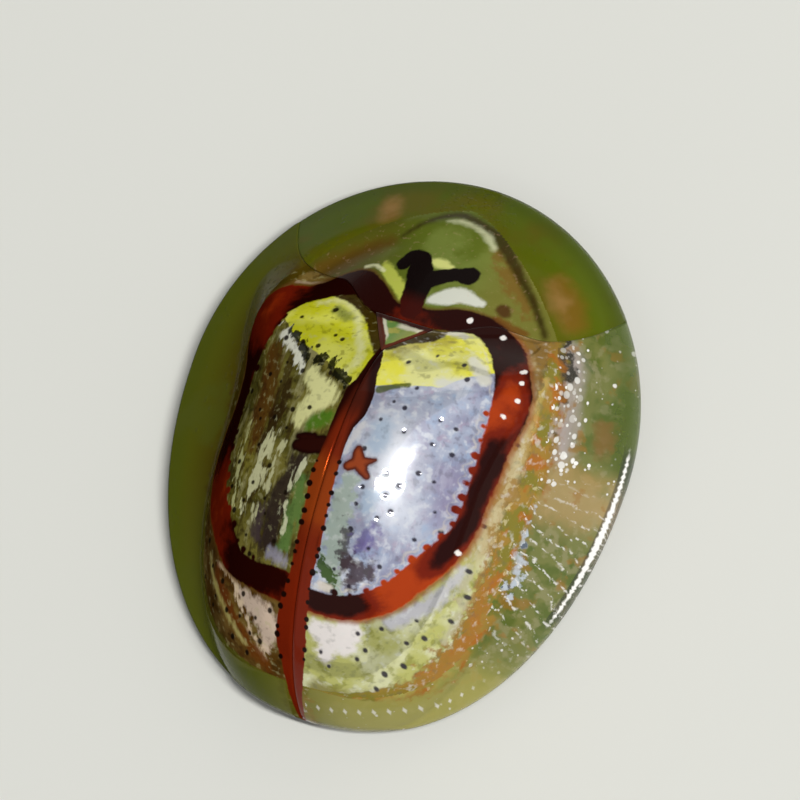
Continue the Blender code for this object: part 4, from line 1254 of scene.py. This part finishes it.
def leg(pair, side_name, side, finish):
    """Hip, thigh, shin, four foot joints, claws and bristles."""
    rng = np.random.default_rng(SEED + 3 * len(pair) + side)
    hip, knee, ankle, toe = (np.array((side * x, y, 0.0)) for x, y in LEG_ROUTES[pair])
    at_hip, at_knee, at_ankle = hip + (0, 0, THIGH_Z), knee + (0, 0, THIGH_Z), ankle + (0, 0, ANKLE_Z)
    thigh, foot = at_knee - at_hip, toe - ankle
    hip_top, hip_low = (hip + (0, 0, z) for z in HIP_Z)
    parts = [
        bulb(hip_top, hip_low, HIP, HIP_RADIUS),
        bulb(at_hip - thigh * 0.1, at_hip + thigh * 0.26, HIP_RING, HIP_RING_RADIUS),
        bulb(at_hip + thigh * 0.08, at_knee, THIGH, THIGH_RADIUS, THIGH_FLATNESS, 24, 20),
        bulb(at_knee - thigh * 0.07, at_ankle + foot * 0.08, SHIN, SHIN_RADIUS, SHIN_FLATNESS, 24, 18),
    ]
    for start, end, width, z, height in FOOT_JOINTS:
        parts.append(bulb(ankle + foot * start + (0, 0, z * 0.62), ankle + foot * end + (0, 0, z * 0.5),
                          FOOT_JOINT, width, height, 14, 18, 0.0))
    start, end = ankle + foot * 0.66 + (0, 0, 0.11), toe + (0, 0, 0.09)
    parts.append(bulb(start, end, LAST_JOINT, LAST_JOINT_RADIUS, 1.0, 12, 14, 0.0))
    ahead = foot / np.linalg.norm(foot)
    across = np.array((-ahead[1], ahead[0], 0.0))
    for turn in (-1, 1):
        route = [toe + ahead * along + across * turn * aside + (0, 0, z) for along, aside, z in CLAW]
        route = curve(route, CLAW_RINGS)
        radius = np.linspace(*CLAW_RADII, CLAW_RINGS)
        parts.append(tube(route, radius, radius, 10))
    for _ in range(BRISTLES):
        share = rng.uniform(0.1, 1.0)
        root = ankle + foot * share * 0.8
        way = across * rng.choice((-1, 1)) * rng.uniform(0.5, 1.0) + ahead * rng.uniform(0.2, 0.9)
        root = root + across * rng.uniform(-0.1, 0.1) + (0, 0, rng.uniform(0.04, 0.16))
        tip = root + way * rng.uniform(0.05, 0.08) + (0, 0, rng.uniform(-0.03, 0.02))
        parts.append(hair(root, tip, BRISTLE_RADII))
    points, faces = together(parts)
    return make_object(f"leg_with_claws_{pair}_{side_name}", points, faces, [finish], slot="limb",
                       stands_for=[f"leg_{pair}_{side_name}"])


FEELER_ROUTE = (
    (0.46, -2.76, 0.27), (0.78, -2.86, 0.24), (1.2, -2.74, 0.21), (1.6, -2.42, 0.2), (1.9, -2.04, 0.2),
    (2.02, -1.76, 0.2),
)
FEELER_STEPS = 220
FEELER_LOWEST = 0.02
# Hairs on a downy joint and on a bare one, and how far they reach
DOWN_HAIRS = 14
BARE_HAIRS = 5
DOWN_LENGTH = 0.035
# The eleven joints: how long each is beside the others, how thick along its length, and its radius
FEELER_LENGTHS = (1.5, 0.75, 0.9, 0.95, 0.95, 0.95, 1.0, 1.0, 1.0, 1.0, 1.3)
FEELER_JOINT = ((0, 0.12, 0.6, 0.9, 1), (0.5, 0.72, 1.0, 0.92, 0.55))
FEELER_RADII = (0.13, 0.1, 0.095, 0.1, 0.105, 0.125, 0.15, 0.155, 0.155, 0.155, 0.145)


def feeler(side_name, side, finish):
    """Eleven joints, the last five thicker and downy."""
    rng = np.random.default_rng(SEED + side)
    route = curve(FEELER_ROUTE, FEELER_STEPS + 1) * (side, 1, 1)
    ends = np.concatenate([[0.0], np.cumsum(FEELER_LENGTHS)]) / sum(FEELER_LENGTHS)
    parts = []
    for i, width in enumerate(FEELER_RADII):
        first, last = (int(round(FEELER_STEPS * share)) for share in ends[i:i + 2])
        middle = route[max(0, first - 2):last + 3]
        share = np.linspace(0, 1, len(middle))
        shape = np.interp(share, *FEELER_JOINT) * width
        if i == len(FEELER_RADII) - 1:
            shape *= np.sqrt(np.clip(1.04 - share ** 3, 0.02, 1))
        parts.append(tube(middle, shape, shape, 18))
        for _ in range(DOWN_HAIRS if i > 5 else BARE_HAIRS):
            k = rng.integers(2, len(middle) - 3)
            turn = rng.uniform(0, 2 * math.pi)
            ahead = middle[k + 1] - middle[k]
            ahead /= np.linalg.norm(ahead)
            out = np.cross(ahead, (math.cos(turn), 0.3, math.sin(turn)))
            out /= np.linalg.norm(out)
            root = middle[k] + out * shape[k] * 0.9
            tip = root + (out * 0.6 + ahead) * DOWN_LENGTH
            parts.append(hair(root, tip, DOWN_RADII))
    points, faces = together(parts)
    points[:, 2] = np.maximum(points[:, 2], FEELER_LOWEST)
    return make_object("feeler_" + side_name, points, faces, [finish], slot="limb",
                       stands_for=["antenna_" + side_name])


# The head from its neck forward: y, share of its width, underside and top
HEAD_SHAPE = (
    (-2.12, 0.7, 0.2, 0.6), (-2.3, 0.94, 0.11, 0.66), (-2.5, 1.0, 0.09, 0.63), (-2.7, 0.9, 0.09, 0.52),
    (-2.84, 0.66, 0.11, 0.41), (-2.92, 0.36, 0.15, 0.31),
)
HEAD_HALF_WIDTH = 0.55
HEAD_RINGS = (60, 64)
HEAD_ROUNDNESS = 0.85
# Depth of the face's groove and its width as a share
FACE_GROOVE = (0.02, 0.12)
# The eye's middle, and its half width, half length and half height
EYE_AT = (0.5, -2.44, 0.38)
EYE_REACH = (0.16, 0.2, 0.21)
EYE_RINGS = (40, 48)
# The lip, then jaw and palp on the left side, each with its radii
LIP = ((0, -2.9, 0.23), (0, -3.12, 0.15))
LIP_SHAPE = ((0, 0.8), (0.5, 1.0), (1, 0.8))
LIP_HALF_WIDTH = 0.18
LIP_FLATNESS = 0.42
JAW = ((0.13, -2.96, 0.17), (0.18, -3.1, 0.13), (0.12, -3.18, 0.1), (0.03, -3.2, 0.09))
JAW_RINGS = 18
JAW_RADII = (0.075, 0.012)
PALP = ((0.2, -2.86, 0.14), (0.3, -2.97, 0.1), (0.3, -3.08, 0.08), (0.23, -3.16, 0.07))
PALP_RADII = (0.035, 0.042, 0.045)


def head(finishes):
    """Head capsule with a grooved face, faceted eyes and mouthparts."""
    rings, sides = HEAD_RINGS
    shape = curve(HEAD_SHAPE, rings)
    angle = 2 * math.pi * np.arange(sides) / sides
    wide, tall = (signed_power(part(angle), HEAD_ROUNDNESS) for part in (np.cos, np.sin))
    depth, groove_width = FACE_GROOVE
    points = []
    for y, width, low, high in shape:
        middle, half = (low + high) / 2, (high - low) / 2
        groove = depth * np.exp(-(np.cos(angle) / groove_width) ** 2) * (np.sin(angle) > 0)
        height = middle + half * tall - groove
        points.append(np.stack([HEAD_HALF_WIDTH * width * wide, np.full(sides, y), height], 1))
    make_object("head_capsule", np.concatenate(points), skin(rings, sides), [finishes["head"]], slot="head",
                stands_for=["head"])
    rings, sides = EYE_RINGS
    turn = np.linspace(0, math.pi, rings)
    wide, long, tall = EYE_REACH
    for side_name, side in SIDES:
        route = np.stack([0 * turn, -long * np.cos(turn), 0 * turn], 1) + np.multiply(EYE_AT, (side, 1, 1))
        points, faces = tube(route, wide * np.sin(turn) + 0.002, tall * np.sin(turn) + 0.002, sides)
        make_object("compound_eye_" + side_name, points, faces, [finishes["eye"]], slot="eye",
                    stands_for=["eye_" + side_name])
    parts = [bulb(*LIP, LIP_SHAPE, LIP_HALF_WIDTH, LIP_FLATNESS)]
    for side in (-1, 1):
        radius = np.linspace(*JAW_RADII, JAW_RINGS)
        parts.append(tube(curve(JAW, JAW_RINGS) * (side, 1, 1), radius, radius * 0.8, 14))
        palp = np.array(PALP) * (side, 1, 1)
        for first, last, width in zip(palp, palp[1:], PALP_RADII):
            parts.append(bulb(first, last, ((0, 0.6), (0.6, 1.0), (1, 0.7)), width, 1.0, 10, 12))
    points, faces = together(parts)
    make_object("lip_jaws_and_palps", points, faces, [finishes["mouth"]], slot="mouth",
                stands_for=["mouthparts"])


# The body from above: its ends, half width, and how it tapers behind its widest line
BODY_FRONT_Y = -2.06
BODY_REAR_Y = 2.93
BODY_HALF_WIDTH = 1.55
BODY_WIDEST_Y = 0.2
BODY_TAPER = 2.74
BODY_TAPER_POWER = 2.4
# How it narrows in front: a share of its width, then two steps in mm, each from one place to another ahead
BODY_WAIST = (0.08, 0.6, 1.5)
BODY_STEPS = ((0.36, 1.5, 1.7), (0.28, 1.7, 2.1))
# Its underside: height, rise to its sides, belly rings, and grooves across it (y, depth, width)
BODY_LOW = 0.58
BODY_RISE = 0.1
BELLY_FROM_Y = 0.22
BELLY_RING = 0.54
BELLY_RING_STEP = 0.05
BODY_GROOVES = ((-1.57, 0.12, 0.05), (-0.98, 0.05, 0.03), (0.16, 0.06, 0.03))
# Depth and width of the breast's furrow, height and width of the keel in front of it
FURROW = (0.04, 0.025)
KEEL = (0.06, 0.12)
# Depth of the hollow round a hip and where it ends, and height, place and width of its rim
HIP_HOLLOW = (0.08, 0.16, 0.3)
HIP_RIM = (0.03, 0.31, 0.04)
# How far the body stays under the shell's top, the y and reach where both plates count, its least
# thickness, and its room under the wing cases
UNDER_HOOD = 0.54
UNDER_CASES = 0.64
UNDER_BOTH = (-1.6, 0.3)
BODY_LEAST = 0.05
CASE_ROOM = 0.03


def body(finish):
    """The whole underside in one skin: breast plates, hip hollows and overlapping belly rings."""
    along, across = shares(BODY_GRID)
    y = BODY_FRONT_Y + (BODY_REAR_Y - BODY_FRONT_Y) * along + 0 * across
    share = np.clip((y - BODY_WIDEST_Y) / BODY_TAPER, 0.0, 1.0)
    waist, start, end = BODY_WAIST
    half = BODY_HALF_WIDTH * np.sqrt(1 - share ** BODY_TAPER_POWER)
    half = half * (1 - waist * smooth_step(start, end, -y))
    for inward, start, end in BODY_STEPS:
        half = half - inward * smooth_step(start, end, -y)
    x = across * half
    x[-1] = 0.0
    low = BODY_LOW + BODY_RISE * (x / BODY_HALF_WIDTH) ** 2
    ring = (y - BELLY_FROM_Y) / BELLY_RING
    low = low + np.where(ring > 0, BELLY_RING_STEP * (0.6 - ring % 1.0), 0.0)
    for line, depth, width in BODY_GROOVES:
        low = low + depth * np.exp(-((y - line) / width) ** 2)
    depth, width = FURROW
    low = low + depth * np.exp(-(x / width) ** 2) * smooth_step(-0.95, -0.7, y) * smooth_step(0.2, 0.0, y)
    height, width = KEEL
    low = low - height * np.exp(-(x / width) ** 2) * smooth_step(-1.6, -1.7, y)
    (depth, start, end), (height, at_rim, width) = HIP_HOLLOW, HIP_RIM
    for hip_x, hip_y in (route[0] for route in LEG_ROUTES.values()):
        gap = np.hypot(np.abs(x) - hip_x, y - hip_y)
        rim = height * np.exp(-((gap - at_rim) / width) ** 2)
        low = low + depth * (1 - smooth_step(start, end, gap)) - rim
    under_hood, under_cases = pronotum_top(x, y) - UNDER_HOOD, case_top(x, y) - UNDER_CASES
    top = np.where(y < seam_y(x), under_hood, under_cases)
    both_y, both_reach = UNDER_BOTH
    top = np.where(np.abs(y - both_y) < both_reach, np.minimum(under_hood, under_cases), top)
    top = np.maximum(top, low + BODY_LEAST)
    top = np.where(y < SEAM_MIDDLE_Y, top, np.minimum(top, case_under(x, y) - CASE_ROOM))
    return plate("body_wall", x, y, top, low, {}, np.zeros_like(x), [finish],
                 slot="body", stands_for=["prothorax", "thorax", "abdomen"])


# Each lamp: its way from the beetle, distance and size in metres, power in watts, and colour
LAMPS = (
    ("oblong_lamp", (-0.474, -0.02, 0.881), 0.25, (0.016, 0.1), 0.53, "#ffffff"),
    ("right_soft_box", (-0.8, 0.15, 0.55), 0.5, (0.7, 0.6), 0.45, "#f2f2ff"),
    ("front_soft_box", (-0.15, -0.85, 0.5), 0.5, (0.6, 0.4), 0.3, "#fffdf4"),
    ("rear_soft_box", (0.1, 0.85, 0.5), 0.5, (0.6, 0.4), 0.3, "#fffdf4"),
)
AIR_STRENGTH = 0.15
FLOOR_REACH = 1.5


def studio():
    """Pale floor, an oblong lamp for the glint, a cool soft box on the right, and fill."""
    mesh = bpy.data.meshes.new("floor")
    corners = [(x * FLOOR_REACH, y * FLOOR_REACH, 0) for x, y in ((-1, -1), (1, -1), (1, 1), (-1, 1))]
    mesh.from_pydata(corners, [], [(0, 1, 2, 3)])
    finish = new_finish("pale_matt_board")[1]
    mesh.materials.append(finish({"Base Color": "#dcdcd4", "Roughness": 0.9}))
    floor = bpy.data.objects.new("floor", mesh)
    bpy.context.scene.collection.objects.link(floor)
    world = bpy.data.worlds.new("studio_air")
    world.use_nodes = True
    air = world.node_tree.nodes["Background"]
    air.inputs["Color"].default_value = colour("#e9edf2")
    air.inputs["Strength"].default_value = AIR_STRENGTH
    bpy.context.scene.world = world
    for name, way, distance, size, power, code in LAMPS:
        light = bpy.data.lights.new(name, "AREA")
        light.shape = "ELLIPSE" if name == "oblong_lamp" else "RECTANGLE"
        light.size, light.size_y = size
        light.energy = power
        light.color = colour(code)[:3]
        lamp = bpy.data.objects.new(name, light)
        way = Vector(way).normalized()
        lamp.location = way * distance
        lamp.rotation_mode = "QUATERNION"
        lamp.rotation_quaternion = way.to_track_quat("Z", "Y")
        bpy.context.scene.collection.objects.link(lamp)


def camera():
    """The photo's view: leaning 21 degrees to the beetle's right and 4 to its rear, with a long lens."""
    # Its own three axes in the beetle's frame
    right = Vector((-0.89161, -0.32341, -0.31692))
    up = Vector((0.27679, -0.94319, 0.18379))
    back = Vector((-0.3584, 0.0762, 0.9305))
    photo_pixels = 800
    pixels_per_mm = 80.7
    # Where the photo has the middle of the shell at the rim's height, from its left and from its top
    middle_x, middle_y = 401.68, 456.62
    aim = Vector((0.0, 0.0, RIM_Z)) + right * ((photo_pixels / 2 - middle_x) / pixels_per_mm)
    aim += up * ((middle_y - photo_pixels / 2) / pixels_per_mm)
    distance = 0.2
    made = bpy.data.cameras.new("photo_camera")
    made.sensor_width = 36.0
    made.lens = made.sensor_width * distance * pixels_per_mm / (photo_pixels * MM)
    made.clip_start = 0.01
    made.clip_end = 5.0
    obj = bpy.data.objects.new("photo_camera", made)
    turn = Matrix((right, up, back)).transposed().to_4x4()
    obj.matrix_world = Matrix.Translation(aim * MM + back * distance) @ turn
    bpy.context.scene.collection.objects.link(obj)
    bpy.context.scene.camera = obj


def main():
    inner = plain_finish("inner_face_of_cuticle", "#8a7442", "#5f4a22", 0.3, 0.45, 0.3)
    finishes = {
        "head": plain_finish("pitted_olive_cuticle", "#8a7a32", "#5c4c1c", 0.3, 0.4, 0.6),
        "eye": eye_finish(),
        "mouth": plain_finish("red_brown_cuticle", "#5a2a14", "#2c1008", 0.2, 0.35, 0.3),
        "limb": plain_finish("straw_cuticle", "#a9873c", "#7a5520", 0.25, 0.38, 0.4),
        "body": plain_finish("dark_brown_cuticle", "#4a2c16", "#22120a", 0.4, 0.4, 0.7),
    }
    # The left brim faces away from the lamp, so it has less shine and no coat
    for (side_name, side), shine, coat in zip(SIDES, (0.07, 0.015), (0.02, 0.0)):
        brim = brim_finish("clear_netted_cuticle_" + side_name, True, shine, coat)
        wing_case(side_name, side, [disc_finish(side_name), brim, inner])
    neck_plate([hood_finish(), brim_finish("clear_olive_cuticle", False, 0.04, 0.01), inner])
    shield(shield_finish())
    head(finishes)
    body(finishes["body"])
    for side_name, side in SIDES:
        feeler(side_name, side, finishes["limb"])
        for pair in LEG_ROUTES:
            leg(pair, side_name, side, finishes["limb"])
    studio()
    camera()
    bpy.context.scene.view_settings.view_transform = "Standard"


main()
